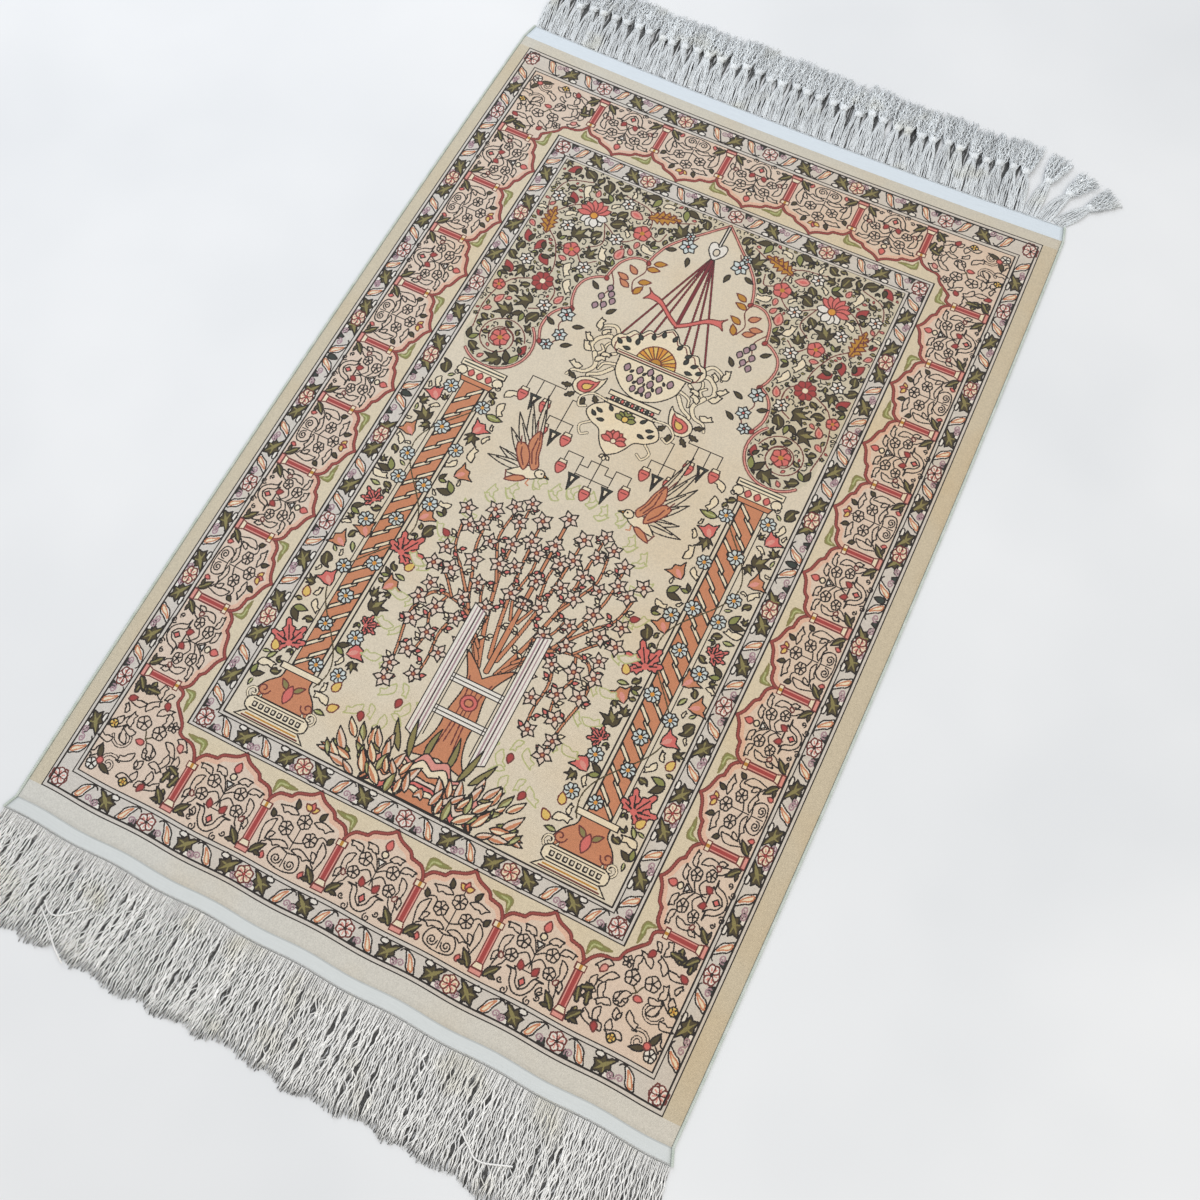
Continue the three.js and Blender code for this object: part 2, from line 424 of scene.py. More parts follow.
class Pen:
    """Draws in a motif's own millimetres, with its own origin and axes"""

    def __init__(self, chart, origin=(0, 0), across=(1, 0), up=(0, 1)):
        self.chart = chart
        self.origin = np.array(origin, float)
        self.axes = np.array([across, up], float)

    def at(self, x, y, turn=0, size=1, flip=1):
        """A pen with its origin at a place, turned by degrees, scaled or mirrored"""
        c, s = math.cos(math.radians(turn)), math.sin(math.radians(turn))
        own = np.array([[c * flip, s * flip], [-s, c]]) * size
        origin = self.origin + np.array([x, y]) @ self.axes
        return Pen(self.chart, origin, *(own @ self.axes))

    def place(self, points):
        return self.origin + np.array(points, float) @ self.axes

    def fill(self, points, colour):
        self.chart.fill(self.place(points), colour)

    def line(self, points, colour=INK, width=FINE):
        self.chart.line(self.place(points), colour, width)

    def form(self, points, colour, ink=INK, width=FINE):
        """A filled shape with a drawn edge"""
        points = np.array(points, float)
        self.fill(points, colour)
        self.line(np.vstack([points, points[:1]]), ink, width)

    def bold(self, points, colour, ink=INK):
        self.form(points, colour, ink, LINE)


def between(before, start, end, after, t):
    """A smooth way from one point to the next, led by the points before and after them"""
    return (
        before * (-t ** 3 + 2 * t ** 2 - t) + start * (3 * t ** 3 - 5 * t ** 2 + 2)
        + end * (-3 * t ** 3 + 4 * t ** 2 + t) + after * (t ** 3 - t ** 2)
    ) / 2


def with_leads(points):
    """The points of an open curve, led in and out by one more at each end"""
    return np.vstack([2 * points[0] - points[1], points, 2 * points[-1] - points[-2]])


def curve(points, closed=False, fine=5):
    """A smooth curve through points"""
    p = np.array(points, float)
    p = np.vstack([p[-1:], p, p[:2]]) if closed else with_leads(p)
    t = (np.arange(fine) / fine)[:, None]
    spans = [between(*four, t) for four in zip(p, p[1:], p[2:], p[3:])]
    return np.vstack(spans + ([] if closed else [p[-2:-1]]))


def mirrored(half):
    """A closed outline from the half that starts and ends near the middle line"""
    return np.vstack([half, half[::-1] * (-1, 1)])


def ring(across, up=None, middle=(0, 0), count=18):
    """A circle, or an ellipse where its height differs"""
    a = np.linspace(0, TURN, count, endpoint=False)
    up = across if up is None else up
    return np.stack([middle[0] + across * np.cos(a), middle[1] + up * np.sin(a)], 1)


def petal(length, width, widest=0.6, full=0.8):
    """A symmetric petal standing on the origin, widest at a share of its length"""
    u = np.linspace(0, 1, 10)
    half = width / 2 * np.sin(np.pi * u ** (math.log(0.5) / math.log(widest))) ** full
    y = u * length
    return np.vstack([np.stack([-half, y], 1), np.stack([half, y], 1)[-2:0:-1]])


def blade(length, width, bend=0.0, teeth=0, depth=0.35):
    """A leaf standing on the origin whose spine bends aside, with teeth along its edges"""
    u = np.linspace(0, 1, 2 * teeth + 1 if teeth else 9)
    half = width / 2 * np.sin(np.pi * u ** 0.8)
    back = np.zeros((len(u), 2))
    if teeth:
        is_tip = np.arange(len(u)) % 2
        half = half * (1 + depth * np.where(is_tip, 0.6, -1))
        back[:, 1] = 0.5 * length / teeth * is_tip * 0.4
    spine = np.stack([bend * u * u, length * u], 1)
    side = np.stack([np.ones_like(u), -2 * bend * u / length], 1)
    side = side / np.hypot(*side.T)[:, None] * half[:, None]
    return np.vstack([spine - side + back, (spine + side + back)[-2:0:-1]])


def curl(radius, turns):
    """A spiral that winds in to its eye, starting at the origin"""
    a = np.linspace(0, turns * TURN, 16)
    r = radius * (1 - 0.8 * a / a[-1])
    return np.stack([radius - r * np.cos(a), -r * np.sin(a)], 1)


def box(x0, y0, x1, y1):
    return [(x0, y0), (x1, y0), (x1, y1), (x0, y1)]


# Flowers and leaves that many places share


def rosette(pen, radius, count, colour, core, ink, eye, widest=0.66):
    """Round petals about an eye, whose radius is a share of the flower's"""
    width = 1.6 * radius * math.sin(math.pi / count) + 0.3
    for k in range(count):
        pen.at(0, 0, 360 * k / count).bold(petal(radius, width, widest), colour, ink)
    pen.fill(ring(radius * eye), core)


def star(pen, radius, colour=WHITE, core=TERRACOTTA, count=6):
    """Pointed petals about an eye"""
    for k in range(count):
        pen.at(0, 0, 360 * k / count).bold(petal(radius, radius * 0.66, 0.5, 1.0), colour)
    pen.form(ring(radius * 0.2), core)


def wavy(pen, length, width, bend, colour=PEACH, ink=INK):
    """A leaf that swings to one side, with a thorn on its outer edge"""
    shares = ((0, 0), (-0.36, 0.12), (-0.66, 0.34), (-0.52, 0.58), (-0.2, 0.8), (0.1, 1), (0.26, 0.84),
              (0.74, 0.7), (0.34, 0.54), (0.4, 0.32), (0.16, 0.12))
    points = [(x * width + bend * y * y, y * length) for x, y in shares]
    pen.form(curve(points, True, 3), colour, ink)


def spiked(pen):
    """A dark leaf of pointed lobes, twelve millimetres long at full size"""
    outline = [(0, -0.6), (-3.0, 0.6), (-5.6, 4.6), (-2.6, 4.0), (-3.6, 8.2), (-0.8, 6.0), (0.2, 11.4),
               (2.0, 6.2), (6.6, 8.4), (4.0, 4.2), (5.8, 1.0), (1.8, 1.2)]
    pen.bold(outline, OLIVE)
    pen.fill([(-0.2, 1.6), (-1.6, 5.2), (0.4, 9.0), (1.2, 5.0)], LIGHT_OLIVE)


def veined(pen, length, width, bend, teeth):
    """A dark toothed leaf with a lighter vein"""
    pen.bold(blade(length, width, bend, teeth), OLIVE)
    u = np.linspace(0.1, 0.8, 5)
    pen.line(np.stack([bend * u * u, length * u], 1), LIGHT_OLIVE)


def maple(pen, size):
    """A big leaf of five toothed fingers"""
    fingers = ((-96, 0.62, 0.5), (96, 0.62, 0.5), (-48, 0.85, 0.7), (48, 0.85, 0.7), (0, 1.0, 0.85))
    for turn, length, _ in fingers:
        pen.at(0, 0, turn).bold(blade(size * length, size * 0.42, 0, 3, 0.3), CORAL)
    for turn, _, length in fingers:
        pen.at(0, 0, turn).line([(0, 0), (0, size * length * 0.8)])
    pen.fill(ring(size * 0.12), CORAL)


def bell(pen, size, colour=CORAL):
    """A bell flower that opens upwards from the origin"""
    outline = [(0, 0), (-0.3, 0.25), (-0.45, 0.6), (-0.7, 0.95), (-0.3, 0.85), (0, 1.05),
               (0.3, 0.85), (0.7, 0.95), (0.45, 0.6), (0.3, 0.25)]
    pen.bold(np.array(outline) * size, colour)
    pen.fill(petal(size * 0.75, size * 0.3, 0.6), PINK)


def little_bud(pen, colour=CORAL, size=5.5):
    pen.form(petal(size, size * 0.66, 0.4), colour, BROWN)


def pair(pen, x, y, turn, draw):
    """The same drawing on both sides of the pen's own middle line"""
    for flip in (1, -1):
        draw(pen.at(x * flip, y, turn * flip, flip=flip))


# The guards: narrow stripes of rosettes, leaning buds, lobed leaves and tendrils


def white_rosette(pen, petals=WHITE, core=INK):
    """Six petals, each with a line inside"""
    rosette(pen, 7.8, 6, petals, core, BROWN, 0.17, 0.62)
    for turn in range(0, 360, 60):
        pen.at(0, 0, turn).line([(0, 3.0), (0, 5.0)], PINK)


def warm_rosette(pen):
    white_rosette(pen, CREAM, RED)


def guard_bud(pen):
    """A long bud that leans, with a second bud drawn inside it"""
    outline = [(-6.6, -7.4), (-1.8, -7.8), (2.0, -4.6), (3.2, -0.6), (7.0, 7.4),
               (1.6, 5.8), (-2.8, 2.4), (-4.6, -2.6)]
    pen.bold(curve(outline, True, 3), WHITE)
    inner = [(-4.6, -6.2), (-1.6, -6.2), (0.4, -3.2), (1.6, 0.6), (3.8, 5.2), (0.4, 2.6), (-2.4, -1.4)]
    pen.form(curve(inner, True, 3), CREAM, TERRACOTTA)
    pen.line(curve([(6.6, 7.4), (9.4, 7.2), (11.0, 5.4)]))
    pen.at(10.0, -5.6, 150).line(curl(3.4, 1.3), MAUVE)


def guard_leaf(pen):
    """A dark leaf of pointed lobes over two white rounds, with a tendril at one end"""
    pen.bold(ring(4.6, 2.6, (-3.8, -6.4), 12), WHITE)
    pen.bold(ring(3.8, 2.4, (6.0, 6.6), 12), WHITE)
    outline = [(-8.6, 7.8), (-3.4, 7.0), (-0.6, 4.4), (2.0, 7.8), (4.4, 3.4), (9.2, 1.8), (6.6, -2.2),
               (7.6, -7.8), (2.6, -5.8), (-1.4, -7.4), (-2.0, -3.2), (-6.0, -1.4), (-4.6, 2.4)]
    pen.bold(outline, OLIVE)
    pen.fill([(-6.8, 6.6), (0.6, 2.4), (5.8, -5.8), (-2.0, 0.0)], LIGHT_OLIVE)
    pen.line([(-1.0, -4.6), (0.0, 0.2), (5.6, 1.0)], LIGHT_OLIVE)
    pen.line(curve([(-6.0, -1.8), (-9.0, -2.6), (-10.4, -5.6)]))
    pen.at(-10.4, -5.6, 20).line(curl(3.2, 1.3), MAUVE)


def guard_sprig(pen):
    """A little dark leaf beside a rosette"""
    pen.bold([(-3.2, -7.6), (3.2, -7.6), (1.0, -2.2), (-1.2, -3.4)], TEAL)


def guard_dart(pen):
    """A dark pointed petal across the stripe"""
    pen.at(0, -6).bold(petal(12, 5.4, 0.4), TEAL)


GUARD_MOTIFS = {
    "white": white_rosette, "warm": warm_rosette, "corner": white_rosette, "dart": guard_dart,
    "bud": guard_bud, "leaf": guard_leaf, "sprig": guard_sprig,
}
# What stands between two stops of a guard, at shares of the way from the first named
GUARD_RUNS = {
    ("white", "warm"): ((0.11, "sprig"), (0.22, "bud"), (0.415, "leaf"), (0.625, "bud"), (0.84, "leaf")),
    ("white", "corner"): ((0.11, "sprig"), (0.22, "bud"), (0.46, "leaf"), (0.71, "bud")),
    ("warm", "dart"): ((0.18, "leaf"), (0.52, "sprig"), (0.80, "bud")),
}
# The stops along each guard, with their places
OUTER_SIDE = (
    ("corner", 12), ("white", 109), ("warm", 212), ("white", 312), ("warm", 411), ("dart", 459),
    ("warm", 507), ("white", 595), ("warm", 692), ("white", 787), ("corner", 866),
)
OUTER_END = (("corner", 9), ("white", 96), ("warm", 190), ("white", MIDDLE))
INNER_SIDE = (
    ("white", 109), ("warm", 210), ("white", 311), ("warm", 408), ("dart", 456), ("warm", 503),
    ("white", 594), ("warm", 686), ("white", 778),
)
INNER_END = (("white", 92), ("warm", 188), ("white", MIDDLE))
# Each guard: its stops, the side stripe's middle and width share, and the ends' middles
GUARDS = (
    (OUTER_SIDE, OUTER_END, 10.8, 0.82, 12.6, 864.4),
    (INNER_SIDE, INNER_END, 92.0, 0.9, 109.4, 778.0),
)
# How much longer the motifs are on the sides, and how high on the foot's and the top's stripe
SIDE_STRETCH = 1.14
FOOT_HEIGHT = 0.96
TOP_HEIGHT = -0.98


def guard_stripe(stripe, stops):
    """Draws a stripe's motifs. stripe(s, f) is the pen at a length s along it, facing on or back"""
    for (kind, start), (other, end) in zip(stops, stops[1:]):
        key = (kind, other) if (kind, other) in GUARD_RUNS else (other, kind)
        near, far = (start, end) if key == (kind, other) else (end, start)
        for share, motif in GUARD_RUNS[key]:
            place = near + share * (far - near)
            GUARD_MOTIFS[motif](stripe(place, 1 if near > far else -1))
    for kind, place in stops:
        GUARD_MOTIFS[kind](stripe(place, 1))


def guards(pen):
    for sides, ends, centre, width, foot, top in GUARDS:
        guard_stripe(
            lambda s, f: Pen(pen.chart, (centre, s), (0, f * SIDE_STRETCH), (width, 0)), sides
        )
        guard_stripe(lambda s, f: Pen(pen.chart, (s, foot), (f, 0), (0, FOOT_HEIGHT)), ends)
        guard_stripe(lambda s, f: Pen(pen.chart, (s, top), (f, 0), (0, TOP_HEIGHT)), ends)
    for left, bottom, top in GUARD_LINES:
        pen.line([(MIDDLE, bottom), (left, bottom), (left, top), (MIDDLE, top)])


# The arcade between the guards


def arch_line():
    """A whole arch, from capital to capital"""
    half = curve([(36.2, 0), (35.6, 5), (31, 11), (25.5, 12.6), (20.5, 13.4)])
    cusp = curve([(20.5, 13.4), (17.5, 17.5), (12.5, 19.6), (7, 21.6), (3, 24.4), (0, 27.6)])
    right = np.vstack([half, cusp[1:]])
    return np.vstack([right, right[-2::-1] * (-1, 1)])


def arch(pen):
    """One arch over the pen's middle line: its ground, then its rope-like line"""
    line = arch_line() + (0, CAPITAL)
    pen.fill(np.vstack([line, [(-36.2, FOOT_LINE), (36.2, FOOT_LINE)]]), PEACH)
    pen.line(line * (0.95, 1) - (0, 2.6), GLOW, 5.0)
    red_line(pen, line)


def red_line(pen, line):
    """The dark-edged red line of the border's arches"""
    pen.line(line, BROWN, 3.3)
    pen.line(line, ARCH_RED, 1.7)


def column(pen):
    """A border column with its leaves, on the pen's middle line"""
    pen.fill(box(-3.3, 36, 3.3, 69), PINK)
    pen.fill(box(-1.7, 36, 1.7, 69), RED)
    for x in (-3.3, 3.3):
        pen.line([(x, 36), (x, 69)], BROWN)
    pen.form(box(-4.4, 66.6, 4.4, 71.5), CREAM, BROWN)
    pen.fill(box(-1.3, 67.2, 1.3, 71), OCHRE)
    pen.form([(-4.8, 32), (4.8, 32), (3.2, 37), (-3.2, 37)], CREAM, BROWN)
    pen.form(box(-5.2, 27.4, 5.2, 31.6), PINK, BROWN)
    pair(pen, 6.5, 29.5, -32, foot_leaf)


def foot_leaf(pen):
    """The dark leaf beside a column's foot"""
    pen.form(blade(15.5, 6.4, 2.4), OLIVE)
    pen.at(1.0, 3.5, -62).form(blade(7.5, 3.6, 0.6), OLIVE)
    pen.line([(0.2, 2), (0.8, 7), (1.8, 12)], LIGHT_OLIVE)


def curled_leaf(pen):
    """The light leaf that hangs between two arches"""
    outline = [(-0.6, 0), (-1.8, 5.4), (-1.6, 10.6), (3.0, 12.6), (9.2, 11.4), (16.8, 10.8),
               (12.6, 8.6), (8.0, 7.6), (4.0, 7.8), (1.6, 5.4)]
    pen.form(curve(outline, True, 4), LEAF, LIGHT_OLIVE)
    pen.line(curve([(0.2, 4.0), (1.4, 9.0), (8.0, 10.0)]), PALE_LEAF)


def outlined(pen, radius, count=5):
    """A rosette in the ground's own colour"""
    rosette(pen, radius, count, PEACH, INK, INK, 0.2)


def first_cartouche(pen):
    """A chalice with buds below four rosettes"""
    pen.line([(0, 50), (0, 84)])
    little_bud(pen.at(0, 80.2), CORAL, 9.4)
    pen.bold(ring(2.8, 2.8, (0, 76.6)), CREAM)
    pen.bold([(-3.4, 71.8), (3.4, 71.8), (0, 66.6)], WHITE)
    chalice = curve([(16.2, 44.6), (11.6, 43.0), (9.4, 35.6), (4.6, 29.4), (0, 28.0)])
    pen.bold(mirrored(chalice), PEACH)
    inside = curve([(10.4, 47.0), (6.6, 42.2), (4.6, 35.8), (0, 32.0)])
    pen.bold(np.vstack([inside, [(0, 40.6)], inside[::-1] * (-1, 1)]), PEACH)
    pen.bold([(0, 34.6), (2.8, 38.4), (0, 42.2), (-2.8, 38.4)], CORAL)
    pen.line([(-5.4, 45.4), (0, 55.6), (5.4, 45.4)])
    pair(pen, 0, 0, 0, first_side)


def first_side(pen):
    """What grows at each side of the chalice"""
    for points in (
        [(0, 61), (6, 65.4), (12, 66.6)],
        [(0, 54.4), (6.4, 60), (15, 54)],
        [(0, 63), (4.6, 71), (9, 75)],
    ):
        pen.line(curve(points))
    little_bud(pen.at(5.0, 46.0, -22), RED, 8)
    pen.at(8.6, 30.2, -60).line(curl(3.4, 1.2))
    pen.at(14.0, 31.6, 30).line(curl(2.6, 1.1))
    wavy(pen.at(5.6, 74.6, -72), 12.6, 5.2, -1.6)
    outlined(pen.at(12.8, 66.8), 5.6)
    outlined(pen.at(16.6, 53.2), 5.2)
    wavy(pen.at(17.8, 70.0, -52), 13.0, 5.2, 3.4)
    wavy(pen.at(21.4, 67.0, -146), 19.0, 5.8, 5.6)
    wavy(pen.at(18.6, 49.4, -134), 16.6, 5.4, 3.2)
    wavy(pen.at(27.0, 52.2, -170), 9.4, 3.8, -1.4)
    little_bud(pen.at(22.6, 47.6, -30), PEACH, 5.4)


def second_cartouche(pen):
    """A pair of round scrolls below three rosettes"""
    pen.line([(0, 46), (0, 84)])
    for turn in (-58, 0, 58):
        little_bud(pen.at(0, 80.6, turn), YELLOW if turn else CORAL, 7.2)
    outlined(pen.at(0, 70.4), 6.2, 6)
    scrolls = [(0, 28.4), (-11.6, 31), (-13.4, 38), (-8.6, 44.4), (0, 43), (8.6, 44.4), (13.4, 38),
               (11.6, 31)]
    pen.bold(curve(scrolls, True, 4), PEACH)
    pen.line([(0, 31), (0, 42)])
    pair(pen, 0, 0, 0, second_side)


def second_side(pen):
    """What grows at each side of the scrolls"""
    pen.at(1.8, 36.4, -12).line(curl(4.8, 1.6))
    pen.line(curve([(0, 52), (6, 54.4), (10, 57.6)]))
    wavy(pen.at(1.6, 46.2, -84), 17.4, 5.0, 2.2)
    outlined(pen.at(11.4, 59.6), 6.0, 6)
    wavy(pen.at(7.4, 73.4, -94), 17.6, 5.4, -2.8)
    pen.at(10.8, 76.6, -8).bold(blade(8.4, 4.4, 1.8), OLIVE)
    wavy(pen.at(21.6, 62.8, -158), 24.6, 6.6, 5.4)
    pen.at(25.4, 62.6, -20).bold(blade(7.4, 4.6, 1.0), OLIVE)
    wavy(pen.at(17.4, 52.4, -136), 9.6, 4.0, 1.0)
    little_bud(pen.at(17.8, 29.4, -12), CORAL, 6.4)
    pen.line(curve([(16, 63), (19.6, 66), (25.0, 64.4)]))


def corner_ground(pen):
    line = np.vstack([
        curve([(58, 121.8), (64.5, 118), (64.5, 109.5)]),
        curve([(65.4, 108), (71, 102.8), (78, 95), (80, 88.5)])[1:],
        curve([(81, 87.4), (86, 85.4), (93.4, 84.6), (99.6, 80), (104.2, 72)])[1:],
    ])
    outer = [(104.2, FOOT_LINE), (SIDE_FOOT, FOOT_LINE), (SIDE_FOOT, 121.8)]
    pen.fill(np.vstack([line, outer]), PEACH)
    red_line(pen, line)


def corner_scrolls(pen):
    """Two scrolls, and three rosettes on curved stalks"""
    for x, y, turn in ((30.6, 62.4, 10), (47.4, 45.4, -140)):
        pen.at(x, y, turn).line(curl(9.4, 1.3), INK, 3.0)
        pen.at(x, y, turn).line(curl(9.4, 1.3), PEACH)
    for x, y, radius in ((48.6, 82.2, 6.4), (65.0, 80.0, 6.2), (66.4, 61.6, 6.0)):
        pen.line(curve([(57, 71), ((57 + x) / 2 + 1.5, (71 + y) / 2), (x, y)]), OLIVE)
        outlined(pen.at(x, y), radius)
    star(pen.at(73.0, 89.5), 5.0, PEACH, INK, 5)


def corner_waves(pen):
    """Light leaves all over the compartment"""
    for x, y, turn, length in (
        (42, 97, 112, 17), (36, 84, 168, 17), (44, 91, -16, 15), (55, 92, -38, 15), (74, 76, -112, 17),
        (82, 68, 186, 16), (56, 57, 150, 16), (44, 60, 50, 15), (66, 45, 172, 15), (77, 50, -168, 15),
        (30, 80, 160, 15), (50, 105, 24, 14), (90, 70, -172, 16), (40, 74, 30, 13), (71, 54, -80, 13),
        (64, 98, -150, 13), (32, 60, 120, 13), (52, 34, -70, 15), (70, 33, -50, 13), (88, 44, 150, 14),
        (47, 72, 110, 12), (27, 52, 178, 14), (82, 82, -100, 14), (60, 68, -120, 13),
    ):
        wavy(pen.at(x, y, turn), length, 5.6, 3.2)


def corner_flowers(pen):
    """Buds, two yellow flowers and dark leaves over the light ones"""
    for x, y, turn, colour in (
        (57, 106, -150, RED), (25, 94.5, -60, RED), (77, 38, 160, RED), (86, 80, -150, PINK),
        (58, 67, 90, CORAL),
    ):
        little_bud(pen.at(x, y, turn), colour, 8)
    for x, y in ((25.6, 71), (60, 32.5)):
        rosette(pen.at(x, y), 3.8, 4, YELLOW, OCHRE, INK, 0.3)
    for x, y, turn, length in (
        (26.6, 116, 186, 15), (29, 106, -66, 12), (39, 117, 175, 13), (46.5, 110, 100, 13),
        (91.5, 60, 172, 15), (94, 42, -172, 13), (88, 60, -105, 11), (99, 56, 170, 12),
    ):
        veined(pen.at(x, y, turn), length, 6.6, 1.4, 3)
    pen.at(31.5, 40.5, 28).form(blade(13, 5, 1.6), OLIVE)
    pen.at(33.5, 37.5, -118).form(blade(13, 5, -1.6), OLIVE)
    rosette(pen.at(27.6, 34.0), 5.2, 5, WHITE, INK, INK, 0.2)
    pen.form(ring(2.9, 2.9, (32.6, 39.4), 12), CORAL, BROWN)


def corner_cartouche(pen):
    """The corner compartment"""
    corner_ground(pen)
    corner_scrolls(pen)
    corner_waves(pen)
    corner_flowers(pen)


def arcade(pen):
    """The compartments of the border, and the columns between them"""
    top = Pen(pen.chart, (0, TOP_START), (1, 0), (0, -TOP_SHARE))
    arches = [end.at(x, 0) for end in (pen, top) for x in ARCH_MIDDLES]
    for low, high in zip(SIDE_COLUMNS, SIDE_COLUMNS[1:]):
        across = (0, (high - low) / ARCH_WIDTH)
        arches.append(Pen(pen.chart, (SIDE_START, (low + high) / 2), across, (SIDE_SHARE, 0)))
    end_kinds = [first_cartouche, second_cartouche, first_cartouche]
    kinds = end_kinds * 2 + [first_cartouche, second_cartouche] * 5
    for compartment, kind in zip(arches, kinds):
        arch(compartment)
        kind(compartment)
    corner_cartouche(pen)
    corner_cartouche(Pen(pen.chart, (0, TOP_CORNER_START), (1, 0), (0, -TOP_CORNER_SHARE)))
    posts = [end.at(x, 0) for end in (pen, top) for x in END_COLUMNS]
    posts += [Pen(pen.chart, (SIDE_START, y), (0, 1), (SIDE_SHARE, 0)) for y in SIDE_COLUMNS]
    for number, post in enumerate(posts):
        column(post)
        curled_leaf(post.at(0, 80.0, flip=1 if number % 2 else -1))


# Small drawings that fill what is left free. They are drawn for a free place four millimetres in
# radius and scaled from that. Each starts off the place's middle, by a share of its radius.

DRAWN_RADIUS = 4
START_SHARE = 1.25


def scatter(pen, area, radius, ground, draws, tries):
    """Puts small drawings where an area is still bare within a radius of a random point"""
    x0, y0, x1, y1 = area
    for _ in range(tries):
        x, y = RANDOM.uniform(x0, x1), RANDOM.uniform(y0, y1)
        if pen.chart.free((x, y), radius, ground):
            centre = pen.at(x, y, RANDOM.uniform(0, 360))
            draw = draws[RANDOM.integers(len(draws))]
            flip = RANDOM.choice((-1, 1))
            draw(centre.at(0, -radius * START_SHARE, size=radius / DRAWN_RADIUS, flip=flip))


def hook_leaf(pen):
    """A hooked leaf, ten millimetres long at full size"""
    outline = [(0, 0), (-2.8, 2.4), (-3.2, 5.6), (-0.6, 7.2), (-1.4, 10.4), (2.6, 7.8), (3.4, 4.2),
               (1.8, 1.6)]
    pen.bold(curve(outline, True, 3), OLIVE)
    pen.line([(0.1, 1.8), (0.3, 4.6), (0.4, 7)], LIGHT_OLIVE)


def split_leaf(pen):
    """Two lobes on one stalk"""
    pen.at(0, 0.6, 34).bold(blade(9.6, 4.4, 1.4), OLIVE)
    pen.at(0, 0.6, -38).bold(blade(8.8, 4.2, -1.2), LEAF)


def stroke(pen):
    """A hooked tendril"""
    pen.line(curve([(-1.6, 0), (1.6, 3.4), (0.4, 7.4), (-2.6, 9.6), (-4.2, 7.2)]))


def pale_wave(pen):
    wavy(pen, 11, 4.6, 2.4, CREAM)


def peach_wave(pen):
    wavy(pen, 11, 4.8, 2.4, PEACH)


def peach_bud(pen):
    pen.bold(petal(9, 5.6, 0.42), PEACH)
    pen.at(0, 1.2, 44).bold(blade(6.0, 3.0), PEACH)


def fill_arcade(pen):
    """Small outlined leaves in what the compartments' own motifs leave bare"""
    for radius, tries in ((5.2, 5000), (4.2, 8000), (3.2, 9000)):
        for area in ((22, 24, 82, 852), (82, 24, MIDDLE, 98), (82, 790, MIDDLE, 852)):
            scatter(pen, area, radius, PEACH, (peach_wave, peach_wave, peach_bud), tries // 3)


def red_bud(pen):
    pen.form(petal(9.4, 5.2, 0.4), RED, BROWN)
    pen.at(0, 1.2, 44).bold(blade(6.0, 3.0), OLIVE)


def pink_bud(pen):
    pen.form(petal(9.4, 5.6, 0.42), PINK, BROWN)
    pen.fill(petal(5.6, 2.2, 0.5) + (0, 1.4), CORAL)


# The niche's edge and the filled corner over it, the spandrel

LOBE_MIDDLE = (140.5, 548.5)
LOBE_RADIUS = 33.5


def niche_line():
    """The niche's edge from its point down to the round lobe over the column"""
    return [curve(points) for points in (
        [(MIDDLE, 765.5), (275, 756), (263, 743.5), (250, 730.5), (239, 716), (233, 702), (230, 689.5)],
        [(230, 689.5), (223, 690.5), (214, 687.5), (206, 678), (202.5, 666), (201, 656)],
        [(201, 656), (193, 652.5), (184, 644), (180.5, 632), (182.5, 619), (186.5, 609.5)],
        [(186.5, 609.5), (177.5, 603), (171, 592), (170, 577), (175, 563)],
    )]


def spandrel_ground(pen, lobe):
    left, _, top = GUARD_LINES[-1]
    outer = [(150, 575), (left, 560), (left, top), (MIDDLE, top)]
    pen.fill(np.vstack(niche_line() + [outer]), SPANDREL)
    pen.fill(lobe, SPANDREL)


def spandrel_vines(pen):
    """Thin spirals in the lobe, and a vine with side shoots"""
    for size in (25, 14):
        a = np.linspace(0.2, 1.5 * TURN, 40)
        spiral = np.stack([np.cos(a), np.sin(a)], 1) * (size * (1 - a[:, None] / 14))
        pen.line(spiral + LOBE_MIDDLE, BROWN)
    for points in (
        [(112, 548), (109, 580), (120, 612), (150, 632), (140, 668), (118, 692), (140, 722),
         (172, 712), (196, 700), (214, 722), (206, 746), (176, 752)],
        [(150, 632), (164, 618), (162, 598), (150, 590)],
        [(140, 668), (158, 672), (172, 660), (184, 668)],
        [(172, 712), (180, 690), (168, 678)],
        [(206, 746), (232, 744), (252, 752)],
        [(118, 692), (110, 716), (116, 742), (140, 752)],
        [(214, 722), (228, 716), (232, 728)],
    ):
        pen.line(curve(points), BROWN)


def spandrel_flowers(pen):
    big_lotus(pen.at(158, 716, 22, 1.25))
    for x, y, turn in ((207, 738, -62), (125, 676, 18)):
        feather_leaf(pen.at(x, y, turn, 1.15))
    for x, y, radius in ((210, 718, 9.4), (156, 670, 8.6), (112, 602, 6.4)):
        rosette(pen.at(x, y), radius, 5, CORAL, OCHRE, BROWN, 0.25)
    rosette(pen.at(148, 624), 11, 8, RED, CREAM, BROWN, 0.24, 0.7)
    rosette(pen.at(141, 549), 9.6, 6, CORAL, OCHRE, BROWN, 0.25)
    for x, y in ((183, 744), (122, 640), (190, 700), (162, 600), (116, 722), (140, 694), (176, 656)):
        star(pen.at(x, y), 7.4)


def spandrel_leaves(pen):
    """Leaves and buds of ever smaller sizes over what is left of the ground"""
    area = (103, 514, 284, 766)
    leaves = (spiked, hook_leaf, split_leaf, spiked, hook_leaf, pale_wave)
    for radius, tries in ((6.4, 2500), (5.0, 3600), (3.8, 4600)):
        scatter(pen, area, radius, SPANDREL, leaves + (pale_wave, red_bud, pink_bud), tries)
    for radius, tries in ((2.8, 5200), (1.9, 5200), (1.3, 3600)):
        scatter(pen, area, radius, SPANDREL, leaves + (stroke, stroke, pink_bud, stroke), tries)


